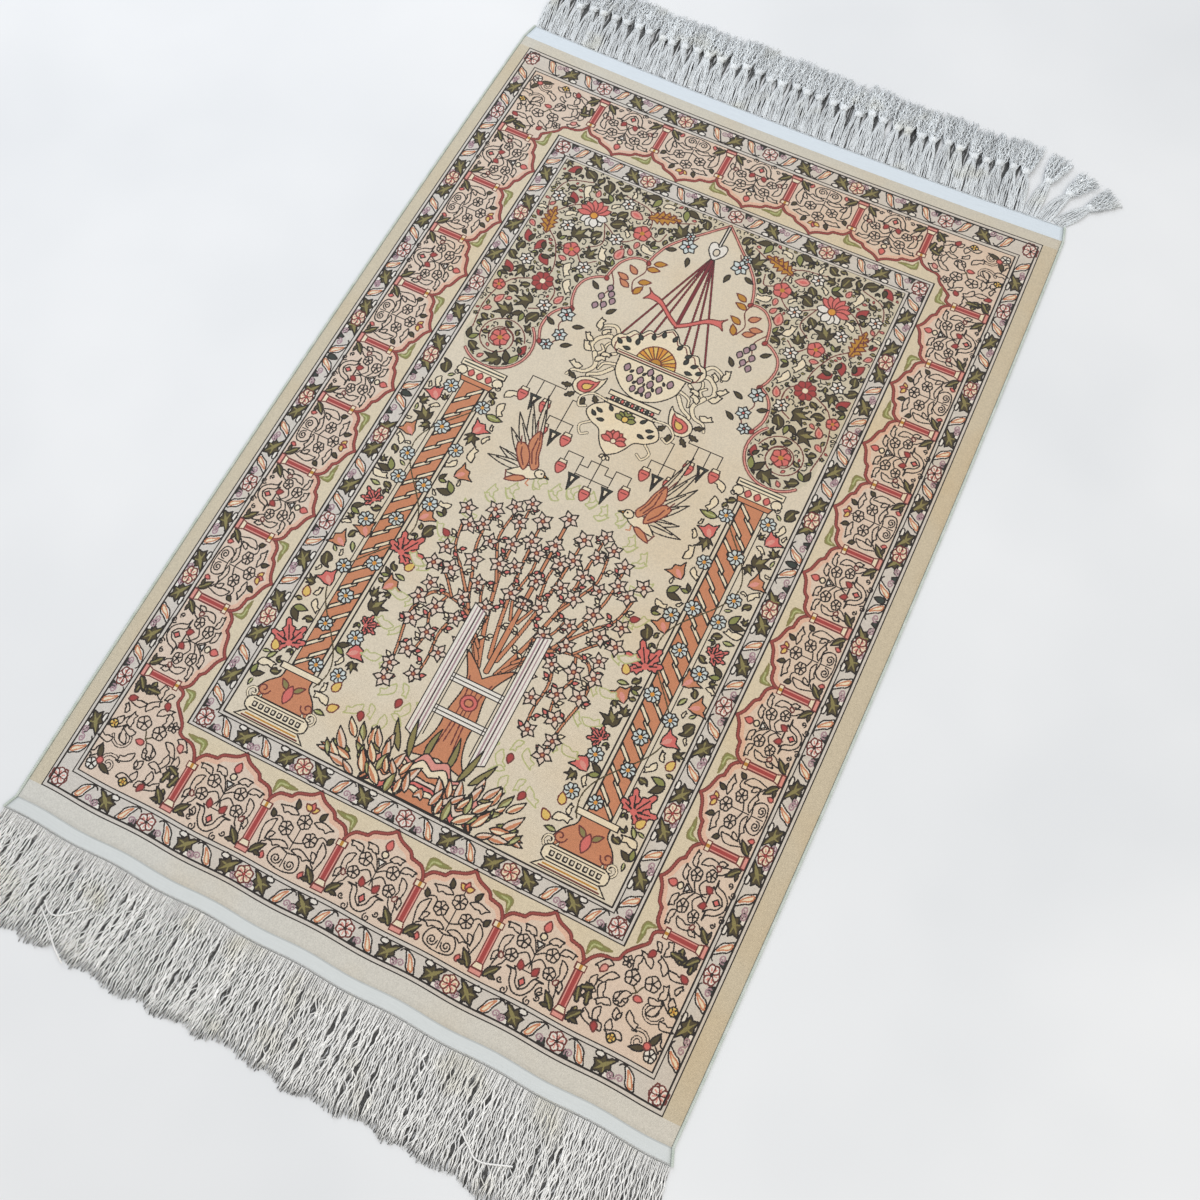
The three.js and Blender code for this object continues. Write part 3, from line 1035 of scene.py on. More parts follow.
def spandrel(pen):
    """The filled corner, with its edge over all of it"""
    lobe = ring(LOBE_RADIUS, LOBE_RADIUS, LOBE_MIDDLE, 48)
    spandrel_ground(pen, lobe)
    spandrel_vines(pen)
    spandrel_flowers(pen)
    spandrel_leaves(pen)
    for points in niche_line() + [np.vstack([lobe[30:], lobe[:7]])]:
        for colour, width in ((SPANDREL, 5.0), (BROWN, 3.2), (PINK, 1.3)):
            pen.line(points, colour, width)
    for x, y in ((230, 689.5), (201, 656), (186.5, 609.5), (175, 563)):
        little_bud(pen.at(x + 2.4, y - 3.2, 35), RED, 6.5)


def big_lotus(pen):
    """The spandrel's lotus: white lobes below a coral half-palmette"""
    for turn in (-150, -115, 115, 150, 180):
        pen.at(0, 0, turn).form(petal(12, 7), WHITE)
    for turn in range(-75, 76, 25):
        pen.at(0, 1, turn).form(petal(14, 5.4), CORAL, BROWN)
    pen.form(ring(3.2), ORANGE, BROWN)


def feather_leaf(pen):
    """A big toothed leaf with a vein and its branches"""
    pen.form(blade(29, 12, 5, 6, 0.4), OCHRE, BROWN)
    pen.line(curve([(0, 1), (1.4, 13), (4, 25)]), BROWN)
    for y in (7, 12, 17, 22):
        pair(pen, y * y * 0.005, y, 40, lambda p: p.line([(0, 0), (0, 4)], BROWN))


# The field: lamps, birds, tree of life and two columns


def edge_sprays(pen):
    """Light twigs inside the niche's edge, with leaves and flowers"""
    for points in (
        [(262, 738), (257, 727), (258, 716)],
        [(229, 690), (232, 678), (226, 664), (230, 652)],
        [(203, 664), (211, 650), (207, 634), (213, 620)],
        [(187, 610), (190, 600), (184, 588), (190, 574), (184, 560)],
    ):
        pen.line(curve(points), BROWN)
    for x, y, turn in ((232, 682, -70), (226, 672, 60), (231, 664, -60), (225, 655, 70), (232, 650, -20),
                       (236, 690, -60), (221, 663, 80)):
        pen.at(x, y, turn).form(blade(13, 6.4, 1.2), OCHRE if x > 228 else TERRACOTTA, BROWN)
    for x, y, radius in ((257, 724, 7), (186, 600, 6.4), (190, 577, 5.6), (183, 562, 5.0), (254, 736, 4)):
        star(pen.at(x, y), radius * 1.3, BLUE_WHITE, CORAL)
    for x, y in ((210, 646), (206, 634), (214, 640), (212, 626), (218, 633), (205, 622)):
        pen.form(petal(8.4, 6, 0.55) + (x, y - 4), MAUVE)
    for x, y, turn in ((248, 716, 120), (262, 712, -160), (197, 590, -60), (180, 585, 70), (196, 566, -50),
                       (219, 618, -30), (200, 640, 60)):
        pen.at(x, y, turn).bold(blade(11, 4.6, 1.4), OLIVE)


def lamp(pen):
    """The hanging lamp, drawn to the left of the middle line"""
    bar = pen.at(MIDDLE, 0)
    lamp_chains(bar)
    lamp_handles(bar)
    lamp_crown(bar)
    lamp_rays(bar)
    lamp_cup(bar)
    lamp_bowl(bar)


def lamp_chains(bar):
    """The chains, the heart that they hang from, and the ribbon behind the crown"""
    for x, y in ((-43, 605), (-27, 612), (-15.5, 620), (-0.6, 633)):
        bar.line([(-1.0, 722), (x, y)], INK, 2.3)
        bar.line([(-1.0, 722), (x, y)], DARK_RED, 1.5)
    bar.form(box(-1.2, 735, 1.2, 764), WHITE)
    heart = curve([(0, 737), (-4, 741), (-8.6, 738.5), (-8.2, 730), (-3, 722.5), (0, 720)])
    bar.form(mirrored(heart), WHITE)
    bar.form(ring(3.2, 4.2, (0, 730)), FIELD)
    ribbon = [(-41, 664), (-37.5, 658), (-41.5, 650), (-36, 652.5), (-24, 650.6), (-8, 638), (0, 634),
              (0, 637.5), (-9, 643.6), (-24, 656), (-35, 659.6)]
    bar.form(curve(ribbon, True, 3), CORAL, BROWN)


def lamp_crown(bar):
    """The lobed crown with its small dark leaves"""
    crown = mirrored(curve([
        (0, 631), (-7, 626), (-12, 619), (-20, 620), (-26, 613), (-33, 613.5), (-38.5, 606),
        (-44.5, 604), (-48, 596), (-44, 588), (-30, 586),
    ]))
    bar.form(crown, CREAM)
    bar.line(crown * (0.9, 1) + (0, -2.6), BROWN)
    for x, y, turn in ((-12, 612, 30), (-22, 607, 50), (-31, 600, 60), (-28, 593, 100), (-38, 595, 60),
                       (-5, 618, 15), (-24, 600, 20)):
        bar.at(x, y, turn).form(blade(7.4, 3.8, 1), TEAL)


def lamp_rays(bar):
    """Half a sun of twelve rays, on the rim between crown and cup"""
    radius, height = 19.5, 588
    step = math.radians(15)
    for number in range(12):
        turn = math.radians(15 * number)
        rays = [(0, height)]
        for a in (turn, turn + step):
            rays.append((-radius * math.cos(a), height + radius * math.sin(a)))
        bar.form(rays, ORANGE if number % 2 else YELLOW, BROWN)
    bar.form(ring(5.4, 5.4, (0, 588.6)), OCHRE, BROWN)
    bar.form(box(-38.5, 583.8, 38.5, 588.6), CREAM)
    bar.line([(-37, 586.2), (37, 586.2)], DARK_RED)


def lamp_cup(bar):
    """The cup with its flowers, and the neck below it"""
    cup = curve([(-34, 583.6), (-31, 566), (-20, 553), (-9, 547), (0, 545)])
    bar.form(mirrored(cup), CREAM)
    for x, y, size in ((-22, 574, 4.6), (-10, 576, 4.6), (0, 578, 4.4), (-15, 564, 4.4), (-5, 566, 4.6),
                       (-8, 555, 4.0), (0, 557, 4.4)):
        bar.at(x, y - size).form(petal(size * 2, size * 1.3, 0.5), MAUVE)
        bar.at(x + 4.6, y - 4, -30).form(blade(4.4, 2.2), TEAL)
    for low, high in ((540.4, 545.2), (531.4, 535.2)):
        bar.form(box(-25.5, low, 25.5, high), CREAM)
    for number, x in enumerate(range(-20, 1, 5)):
        bar.form(petal(5.0, 3.4, 0.5) + (x, 535.4), TEAL if number % 2 else CORAL)


def band(pen, points, thick, thin, colour=CREAM):
    """A ribbon that tapers along a curve, with drawn edges"""
    line = curve(points, fine=6)
    for extra, tone in ((1.8, INK), (0, colour)):
        for number, (start, end) in enumerate(zip(line[:-1], line[1:])):
            width = thick + (thin - thick) * number / len(line) + extra
            pen.line([start, end], tone, max(width, FINE))
    return line


def lamp_handles(bar):
    """The scrolls at both sides of the lamp, and the paisleys below them"""
    for points, thick, thin in (
        ([(-38, 582), (-46, 577), (-50, 584), (-47, 591), (-41, 590)], 2.4, 1.2),
        ([(-36, 590), (-50, 597), (-60, 590), (-62, 580), (-55, 575), (-50, 580), (-54, 585)], 4.2, 1.4),
        ([(-56, 574), (-50, 562), (-56, 552), (-66, 549), (-70, 542)], 4.0, 1.4),
        ([(-34, 566), (-42, 556), (-52, 550), (-44, 546), (-34, 549)], 3.2, 1.4),
        ([(-42, 600), (-50, 609), (-60, 606), (-63, 599)], 3.4, 1.2),
        ([(-32, 572), (-43, 568), (-46, 560)], 2.4, 1.2),
    ):
        band(bar, points, thick, thin)
    for x, y, turn, size in ((-60, 575, 64, 9), (-52, 566, -30, 8), (-62, 600, 30, 9), (-63, 586, 74, 8),
                             (-60, 556, 100, 9), (-58, 595, -14, 7), (-50, 574, -50, 7)):
        wavy(bar.at(x, y, turn), size * 1.5, size * 0.7, 1.6, CREAM)
    paisley = bar.at(-46, 528, 12)
    outline = [(0, 0), (-9, 3), (-12, 11), (-8, 18), (2, 21), (13, 20), (18, 23), (15, 14), (9, 5)]
    paisley.form(curve(outline, True, 4), CREAM)
    paisley.at(0.2, 3.2, size=0.66).form(curve(outline, True, 4), CORAL, BROWN)
    paisley.at(1.0, 6.0, size=0.34).form(curve(outline, True, 4), YELLOW, BROWN)
    for x, y, turn in ((-8, 1, 130), (-12, 8, 100), (-11, 16, 60), (2, -2, 175), (10, 2, 215)):
        paisley.at(x, y, turn).form(blade(10, 5, 1.8, 3, 0.3), OLIVE)


def lamp_bowl(bar):
    """The bowl: green petals above coral ones, with scrolls at its side"""
    bowl = curve([(-24, 531), (-33, 524), (-36, 515), (-28, 507), (-18, 503), (-13, 494), (-8, 487),
                  (0, 481)])
    bar.form(mirrored(bowl), CREAM)
    for points in ([(-24, 533), (-38, 534), (-47, 526), (-45, 517), (-39, 519)],
                   [(-28, 506), (-35, 499), (-31, 491), (-25, 494)]):
        bar.line(curve(points), INK, 3.0)
        bar.line(curve(points), CREAM, 1.6)
    for turn in (-70, -42, -16, 16, 42, 70):
        bar.at(0, 520, turn).form(petal(11, 5.4), LEAF)
    bar.form(ring(3.0, 3.4, (0, 522)), YELLOW)
    for turn in (-80, -50, -22, 22, 50, 80, 0):
        bar.at(0, 496, turn).form(petal(12.6, 6.0), CORAL, BROWN)
    bar.form(ring(2.6, 2.6, (0, 497)), CREAM, BROWN)
    for x, y, turn in ((-22, 520, 80), (-17, 513, 110), (-26, 514, 60), (-14, 525, 50)):
        bar.at(x, y, turn).form(blade(7, 3.4, 1.0), TEAL)
    for turn in (-55, 0, 55):
        bar.at(0, 480.5, 180 + turn).form(petal(6.0, 3.6, 0.5), CREAM)


def acorn(pen):
    """A lamp of the small kind: a cup over a pointed drop"""
    pen.form([(-4.2, 2), (-3.4, 6), (3.4, 6), (4.2, 2)], CREAM)
    drop = [(-4.0, 2), (-4.4, -3), (-2.2, -7.4), (0, -9), (2.2, -7.4), (4.4, -3), (4.0, 2)]
    pen.form(curve(drop, True, 3), CORAL, BROWN)
    pen.line([(-2.6, -1), (2.6, -1)], BROWN)
    pen.line([(0, 6), (0, 8.4)])


def spear_lamp(pen):
    """A lamp of the other kind: a pointed triangle with a light mark inside"""
    pen.form([(-5.6, 6.4), (5.6, 6.4), (3.0, 1.4), (0, -10.6), (-3.0, 1.4)], TEAL)
    pen.form([(-2.6, 4.6), (2.6, 4.6), (0, -4)], CREAM)
    pen.line([(0, 6.4), (0, 8.6)])


def pendants(pen):
    """Small lamps on thin right-angled hangers"""
    hangers = (
        [(222, 534), (222, 526), (188, 526), (188, 515)], [(200, 526), (200, 510)], [(212, 526), (212, 512)],
        [(247, 519), (233, 519), (233, 486)], [(221, 489), (221, 495), (245, 495), (245, 489)],
        [(MIDDLE, 476), (MIDDLE, 448)], [(253, 462), (253, 470), (268, 470), (268, 454)],
        [(268, 462), (276, 462), (276, 470), (MIDDLE, 470)], [(268, 452), (MIDDLE, 452)],
    )
    for points in hangers:
        pen.line(points)
    for x, y in ((188, 506), (212, 503), (221, 480), (245, 480), (253, 454), (MIDDLE, 438)):
        acorn(pen.at(x, y))
    for x, y in ((200, 502), (233, 476), (268, 444)):
        spear_lamp(pen.at(x, y))


def bird(pen):
    """A long-tailed bird that faces the middle"""
    for turn, length, width in (
        (18, 70, 7.5), (29, 64, 8), (41, 54, 8), (55, 42, 8), (84, 33, 7), (100, 38, 8),
    ):
        feather = pen.at(-6, 3, turn)
        feather.bold(blade(length, width, 4), FIELD)
        feather.line(curve([(0.4, 12), (2, length * 0.5), (3.4, length * 0.8)]))
    body = [(0, 5), (-8, 6), (-16, 1), (-24, -7), (-16, -7), (-6, -6), (1, -2)]
    pen.form(curve(body, True, 4), CREAM)
    for points in (
        [(-6, 3), (-14, 14), (-19, 26), (-15, 38), (-9, 28), (-6, 16), (-2, 8)],
        [(-12, 0), (-22, 9), (-27, 20), (-20, 22), (-12, 12)],
        [(-10, -5), (-17, -8), (-22, -14), (-13, -12), (-7, -7)],
    ):
        pen.form(curve(points, True, 4), TERRACOTTA, BROWN)
    for points in (
        [(-8, 8), (-13, 18), (-14, 31)], [(-5, 9), (-9, 18), (-11, 28)], [(-14, 4), (-20, 12), (-22, 18)],
    ):
        pen.line(points, BROWN)
    for x, y, length in ((-17, 36, 9), (-12, 30, 8), (-24, 20, 7), (-22, -12, 6)):
        pen.line([(x, y), (x - length * 0.4, y + length)], BROWN)
    pen.form(ring(4.4, 3.8, (2, 2.4)), CREAM)
    pen.form([(5.6, 3.8), (10.4, 1.2), (5.8, 1.0)], ORANGE)
    pen.fill(ring(0.9, 0.9, (3.2, 3.2)), INK)
    pen.line([(-4, -6), (-5, -10), (-2, -11)], TERRACOTTA)


def blossom(pen, radius=8.0):
    """A flower of five pointed petals"""
    for turn in range(0, 360, 72):
        pen.at(0, 0, turn).bold(petal(radius, radius * 0.6, 0.4, 1.4), BLOSSOM)
    pen.form(ring(radius * 0.2, count=8), TERRACOTTA, BROWN)


def twig(pen, length, colour):
    """A side shoot with a bud and two leaves"""
    pen.line([(0, 0), (0.6, length)])
    pen.at(0.6, length - 1).bold(petal(6.4, 3.6, 0.4, 1.1), colour)
    pen.at(0.2, length * 0.5, 50).bold(blade(4.6, 2.4), CREAM)


def boughs(pen):
    """The tree's branches: some stand up, and the outer ones droop"""
    for points, thick, thin in (
        ([(276, 250), (266, 280), (259, 306), (252, 340), (250, 372), (248, 404)], 3.4, 1.0),
        ([(273, 252), (258, 274), (242, 296), (232, 322), (222, 350), (220, 384)], 3.0, 1.0),
        ([(272, 256), (250, 286), (226, 296), (208, 292), (200, 268), (206, 234), (210, 200)], 2.6, 1.0),
        ([(268, 266), (252, 282), (238, 280), (232, 262), (234, 238), (232, 214)], 2.2, 1.0),
        ([(281, 262), (274, 296), (269, 330), (266, 360), (264, 394)], 2.8, 1.0),
        ([(254, 326), (244, 346), (236, 366), (238, 392)], 1.8, 1.0),
        ([(238, 302), (220, 324), (206, 340), (200, 366)], 1.8, 1.0),
        ([(226, 296), (212, 312), (200, 320)], 1.4, 1.0),
        ([(222, 294), (216, 276), (222, 256), (218, 232)], 1.4, 1.0),
        ([(MIDDLE, 250), (MIDDLE, 300), (MIDDLE, 345), (MIDDLE, 412)], 4.4, 1.2),
        ([(281, 300), (274, 322), (277, 350), (273, 374)], 1.8, 1.0),
        ([(262, 292), (250, 304), (244, 322)], 1.6, 1.0),
    ):
        line = band(pen, points, thick, thin, TERRACOTTA)
        for number, (x, y) in enumerate(line[5::3]):
            side = 1 if number % 2 else -1
            twig(pen.at(x, y, 58 * side, flip=side), 4.6, CORAL if number % 3 else CREAM)


def tree(pen):
    """The tree of life: its trunk, boughs, blossoms and the light leaves behind it"""
    for x, y, turn in ((212, 392, 20), (204, 372, 55), (196, 344, 70), (190, 312, 85), (192, 280, 110),
                       (194, 250, 100), (198, 222, 120), (226, 402, 10), (242, 420, -10), (262, 418, 15),
                       (222, 206, 160), (240, 196, 175), (206, 178, 150), (226, 178, 190), (274, 425, 0)):
        wavy(pen.at(x, y, turn), 18, 7, 3, FIELD, PALE_LEAF)
        wavy(pen.at(x + 5, y + 3, turn + 70), 13, 5, 3, FIELD, PALE_LEAF)
    boughs(pen)
    trunk = curve([(256, 158), (266, 171), (271, 188), (271, 206), (274, 226), (271, 241), (261, 260),
                   (275, 251), (MIDDLE, 242)])
    pen.bold(np.vstack([trunk, [(PAST_MIDDLE, 240), (PAST_MIDDLE, 168)]]), TERRACOTTA)
    for points in ([(277, 176), (279, 200), (278, 226), (274, 240)], [(281, 180), (283, 210), (282, 236)]):
        pen.line(curve(points), BROWN)
    pen.form(ring(7.5, 7.0, (MIDDLE, 218)), CORAL, BROWN)
    pen.form(ring(3.8, 3.4, (MIDDLE, 218)), TERRACOTTA, BROWN)
    for x, y in (
        (248, 407), (264, 396), (221, 388), (246, 386), (264, 374), (250, 364), (207, 364), (231, 358),
        (248, 342), (226, 336), (199, 336), (262, 346), (270, 322), (212, 320), (240, 318), (203, 300),
        (218, 282), (238, 280), (222, 258), (204, 264), (240, 246), (214, 238), (230, 220), (209, 206),
        (MIDDLE, 408), (MIDDLE, 380), (MIDDLE, 342), (236, 398), (198, 378), (234, 300), (196, 318),
        (256, 300), (273, 366), (252, 262), (218, 370), (200, 284), (MIDDLE, 318), (207, 220),
    ):
        blossom(pen.at(x, y, RANDOM.uniform(0, 60)), RANDOM.uniform(8.2, 9.8))
    for x, y, turn in ((207, 172, 200), (232, 196, 175), (196, 346, 60)):
        little_bud(pen.at(x, y, turn), RED, 9)


def fence(pen):
    """White slatted posts with two rails"""
    for y in (202, 233):
        pen.form(box(258, y - 3.4, PAST_MIDDLE, y + 3.4), WHITE)
        pen.line([(258, y), (PAST_MIDDLE, y)])
    pen.form([(247, 176), (260, 170), (260, 296), (247, 301)], WHITE)
    for x in (250.4, 253.6, 256.8):
        pen.line([(x, 176), (x, 298)], MAUVE)
    pen.line([(254, 176), (254, 299)])
    pen.line([(262.6, 178), (262.6, 292)])


HALF_TONES = {LIGHT_OLIVE: PALE_LEAF, LEAF: PALE_LEAF, TERRACOTTA: CREAM}


def broad_leaf(pen, length, colour):
    """A leaf whose halves differ in colour"""
    pen.bold(blade(length, length * 0.36, length * 0.2), colour)
    half = blade(length * 0.8, length * 0.14, length * 0.14) + (-length * 0.04, length * 0.08)
    pen.fill(half, HALF_TONES.get(colour, TERRACOTTA))


def mound(pen):
    """Banks of earth with leaves of many colours heaped round the tree's foot"""
    for x, y, turn, length in (
        (262, 154, 22, 34), (252, 156, 40, 28), (274, 158, 6, 30), (238, 148, 58, 22),
    ):
        pen.at(x, y, turn).bold(blade(length, 5.6, 5), LIGHT_OLIVE)
    mound_banks(pen)
    colours = (CREAM, BLOSSOM, LIGHT_OLIVE, TERRACOTTA, CREAM, LEAF, BLOSSOM)
    for row, (y, left, right, count, (lean, upright)) in enumerate(MOUND_ROWS):
        for number in range(count):
            share = number / (count - 1)
            turn = lean + (upright - lean) * share + RANDOM.uniform(-38, 38)
            place = pen.at(left + (right - left) * share, y + RANDOM.uniform(-4, 4), turn)
            broad_leaf(place, RANDOM.uniform(13, 22), colours[(number * 2 + row * 3) % len(colours)])


def mound_banks(pen):
    """One bank after another, each lower than the last and none over the guard"""
    foot, step = 122, 5.4
    edge = [(232, 122), (236, 142), (244, 151), (251, 147), (258, 157), (266, 153), (274, 162),
            (MIDDLE, 160)]
    for drop, colour in enumerate((PINK, CREAM, TERRACOTTA, BLOSSOM, CORAL, CREAM, TERRACOTTA)):
        bank = [(x, max(y - step * drop + 2.4 * math.sin(x / 7 + drop), foot)) for x, y in edge]
        inner = [(PAST_MIDDLE, 160 - step * drop), (PAST_MIDDLE, foot)]
        pen.bold(np.vstack([curve(bank), inner]), colour)


def field_column(pen):
    """The left column on its base, wound with flowers"""
    shaft = pen.at(144.2, 0)
    shaft.form(box(-14.6, 179, 14.6, 494), FIELD)
    shaft.form(box(-10.6, 179, 10.6, 494), TERRACOTTA)
    for y in np.arange(184, 478, 19.0):
        for x, low in ((-10.0, -3.0), (-2.0, 7.5)):
            far = x + 12
            slash = [(x, y + low), (far, y + low + 11.5), (far, y + low + 16.0), (x, y + low + 4.5)]
            shaft.bold(slash, CREAM)
    column_base(shaft)
    column_capital(shaft)
    column_flowers(pen)


def column_capital(shaft):
    """The flared capital with its scrolls and three petals"""
    shaft.form([(-15, 492), (15, 492), (17, 497), (-17, 497)], TERRACOTTA)
    shaft.form([(-17, 497), (17, 497), (22, 508), (-22, 508)], CREAM)
    shaft.form(box(-22.6, 508, 22.6, 514.6), CREAM)
    shaft.line([(-20, 511.2), (20, 511.2)], TEAL, 1.6)
    pair(shaft, 18.5, 502.4, 0, lambda p: p.form(ring(5.0, 4.8), CREAM))
    pair(shaft, 18.5, 498.6, 0, lambda p: p.line(curl(3.2, 1.1)))
    for x in (-9, 0, 9):
        shaft.form(petal(8, 6, 0.5) + (x, 498.4), CORAL, BROWN)


def column_base(shaft):
    """The bell-shaped base on its plinth"""
    shaft.form(box(-19, 175.6, 19, 181), CREAM)
    bell_base = curve([(-13, 175.6), (-14, 168), (-22, 160), (-27, 150), (-24, 145)])
    shaft.bold(mirrored(bell_base), TERRACOTTA)
    pair(shaft, 15, 153, 0, lambda p: p.line(curl(6.0, 1.2), BROWN, 1.3))
    pair(shaft, 20, 146.4, 0, lambda p: p.line(curl(7.4, 1.3), INK, 2.6))
    pair(shaft, 20, 146.4, 0, lambda p: p.line(curl(7.4, 1.3), CREAM, 1.3))
    pair(shaft, 3, 160, -38, lambda p: p.form(blade(11, 5.0, 2), LIGHT_OLIVE, BROWN))
    shaft.form(petal(17, 8, 0.5) + (0, 148), CORAL, BROWN)
    plinth = curve([(-24, 144.6), (-29, 141), (-29, 134), (-24, 130.6)])
    shaft.form(mirrored(plinth), CREAM)
    for y in (142, 133.2):
        shaft.line([(-24, y), (24, y)])
    for x in np.arange(-21, 22, 6):
        shaft.form(box(x - 1.6, 135.8, x + 1.6, 139.4), FIELD)
    shaft.form([(-25, 130.4), (25, 130.4), (33, 123.4), (-33, 123.4)], CREAM)
    shaft.line([(-24, 127.8), (24, 127.8)], OCHRE, 1.8)
    shaft.line([(-27, 125.2), (27, 125.2)], BROWN)


def column_flowers(pen):
    """What grows round the column: rosettes, bells, big coral leaves and green leaves"""
    vine = np.arange(172, 486, 4.0)
    pen.line(np.stack([144 + 21 * np.sin(vine / 24.0), vine], 1), OLIVE)
    for x, y, turn, size in (
        (166, 321, -30, 25), (121, 204, 30, 24), (119, 352, 50, 15), (172, 244, -60, 14),
    ):
        maple(pen.at(x, y - size * 0.3, turn), size)
    for x, y, turn in (
        (131, 312, 34), (168, 276, -38), (118, 296, 60), (164, 348, -34), (126, 258, 44),
        (118, 420, 50), (172, 400, -46), (170, 210, -54), (120, 462, 34), (166, 446, -26),
    ):
        bell(pen.at(x, y, turn), 14.5, CORAL if y % 4 else TERRACOTTA)
    for x, y, radius in (
        (125, 482, 7.4), (162, 474, 7.2), (138, 440, 7.8), (123, 402, 7.2), (161, 424, 7.2),
        (152, 380, 7.6), (127, 378, 7.2), (166, 366, 7.4), (146, 340, 7.2), (122, 328, 7.4),
        (150, 294, 7.6), (127, 280, 7.0), (143, 256, 7.4), (170, 226, 7.4), (140, 226, 7.0),
        (174, 190, 7.2), (152, 190, 6.8),
    ):
        rosette(pen.at(x, y, 11), radius, 8, BLUE_WHITE, ORANGE, INK, 0.24)
    for x, y, turn in ((176, 176, -20), (180, 160, -50), (114, 186, 30), (112, 240, 20), (177, 300, -30)):
        little_bud(pen.at(x, y, turn), YELLOW, 11)
    leaves = (long_leaf, spiked, hook_leaf, pale_wave, split_leaf, pale_wave)
    for radius, tries in ((6.0, 2200), (4.8, 3200), (3.6, 4200), (2.4, 3200)):
        scatter(pen, (105, 150, 180, 500), radius, FIELD, leaves, tries)


def long_leaf(pen):
    pen.bold(blade(11, 4.8, 1.8), LEAF)
    pen.line([(0, 1.5), (0.4, 4.5), (1.0, 7.6)], PALE_LEAF)


# The whole rug


def field(pen):
    spandrel(pen)
    edge_sprays(pen)
    field_column(pen)
    tree(pen)
    fence(pen)
    mound(pen)
    pendants(pen)
    lamp(pen)
    bird(pen.at(238, 434, 0, 1.12))


def draw_half():
    """The left half of the chart"""
    chart = Chart(MARGIN)
    pen = Pen(chart)
    # The grounds from the outside in: the margins, the outer guard, border, inner guard and field
    for left, bottom, top, colour in (
        (-MARGIN_LEFT, -MARGIN_BOTTOM, 0, FOOT_MARGIN), (-MARGIN_LEFT, TOP_LINE, PILE_TOP, END_MARGIN),
        (0, 0, TOP_LINE, GUARD), (*GUARD_LINES[3], BORDER), (*GUARD_LINES[4], GUARD),
        (*GUARD_LINES[7], FIELD),
    ):
        pen.fill(box(left, bottom, PAST_MIDDLE, top), colour)
    arcade(pen)
    fill_arcade(pen)
    guards(pen)
    field(pen)
    return chart.cells


def draw_rug():
    """The whole chart: the left half, its mirror image, and a margin a little wider on the right"""
    half = draw_half()
    extra = CELL_COLUMNS - 2 * HALF_COLUMNS
    return np.hstack([half, half[:, ::-1], np.repeat(half[:, :1], extra, 1)])


# The pieces


def lay(u, v, z=0.0):
    """Where a place on the flat cloth lies in the scene, with the CAD's bowed sides"""
    u, v, z = np.broadcast_arrays(np.asarray(u, float), v, z)
    across = 2 * u / PILE_WIDTH - 1
    along = np.clip(2 * v / PILE_LENGTH - 1, -1, 1)
    below = np.clip(-v / KILIM_BOTTOM, 0, 1)
    above = np.clip((v - PILE_LENGTH) / KILIM_TOP, 0, 1)
    out = SIDE_BOW * (1 - along ** 2) + BOTTOM_FLARE * below - TOP_TAPER * above
    dip = TOP_DIP * (1 - across ** 2) * np.clip(v / PILE_LENGTH, 0, 1) ** 3
    fade = np.exp(-np.maximum(v, 0) / RIPPLE_REACH)
    wave = RIPPLE_HEIGHT * np.sin(TURN * u / RIPPLE_LENGTH) * fade
    return np.stack([LEFT + u + out * across, FOOT + v - dip + wave, z], -1)


def uneven(u, v):
    """The pile's slight rise and fall"""
    return PILE_UNEVEN * np.sin(u / UNEVEN_ACROSS) * np.sin(v / UNEVEN_ALONG + 1)


def grid_faces(rows, columns):
    """The quads between the points of a grid"""
    corner = np.arange(rows - 1)[:, None] * columns + np.arange(columns - 1)
    faces = np.stack([corner, corner + 1, corner + columns + 1, corner + columns], -1)
    return faces.reshape(-1, 4)


def rim(rows, columns):
    """The outermost points of a grid, all the way round"""
    index = np.arange(rows * columns).reshape(rows, columns)
    return np.concatenate([index[0, :-1], index[:-1, -1], index[-1, :0:-1], index[:0:-1, 0]])


def link(name, data):
    """An object in the scene"""
    made = bpy.data.objects.new(name, data)
    bpy.context.scene.collection.objects.link(made)
    return made


def make_piece(name, points, faces, material, node):
    """A mesh piece that rides on the rug's one body and stands for a CAD node"""
    mesh = bpy.data.meshes.new(name)
    mesh.from_pydata(np.reshape(points, (-1, 3)), [], faces)
    mesh.materials.append(material)
    mesh.shade_smooth()
    made = link(name, mesh)
    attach(made, "root")
    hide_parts(node)
    return made


def set_uv(made, name, values):
    """A UV map from one (u, v) for each face corner"""
    layer = made.data.uv_layers.new(name=name)
    layer.data.foreach_set("uv", np.asarray(values, np.float32).ravel())


def set_faces(made, name, values):
    """One number for each face"""
    attribute = made.data.attributes.new(name, "FLOAT", "FACE")
    attribute.data.foreach_set("value", np.asarray(values, np.float32).ravel())


def cloth_uv(made, places, faces):
    """Keeps each corner's place on the flat cloth for the materials"""
    set_uv(made, CLOTH_UV, places.reshape(-1, 2)[faces.ravel()])


def packed_rows(cells):
    """Packs each face's 4 x 4 cells into 4 numbers, one for each row of cells"""
    rows, columns = (size // CELLS_PER_FACE for size in cells.shape)
    blocks = cells.reshape(rows, CELLS_PER_FACE, columns, CELLS_PER_FACE).astype(np.int64)
    weights = PALETTE_SIZE ** np.arange(CELLS_PER_FACE)
    return (blocks * weights).sum(3).transpose(0, 2, 1)


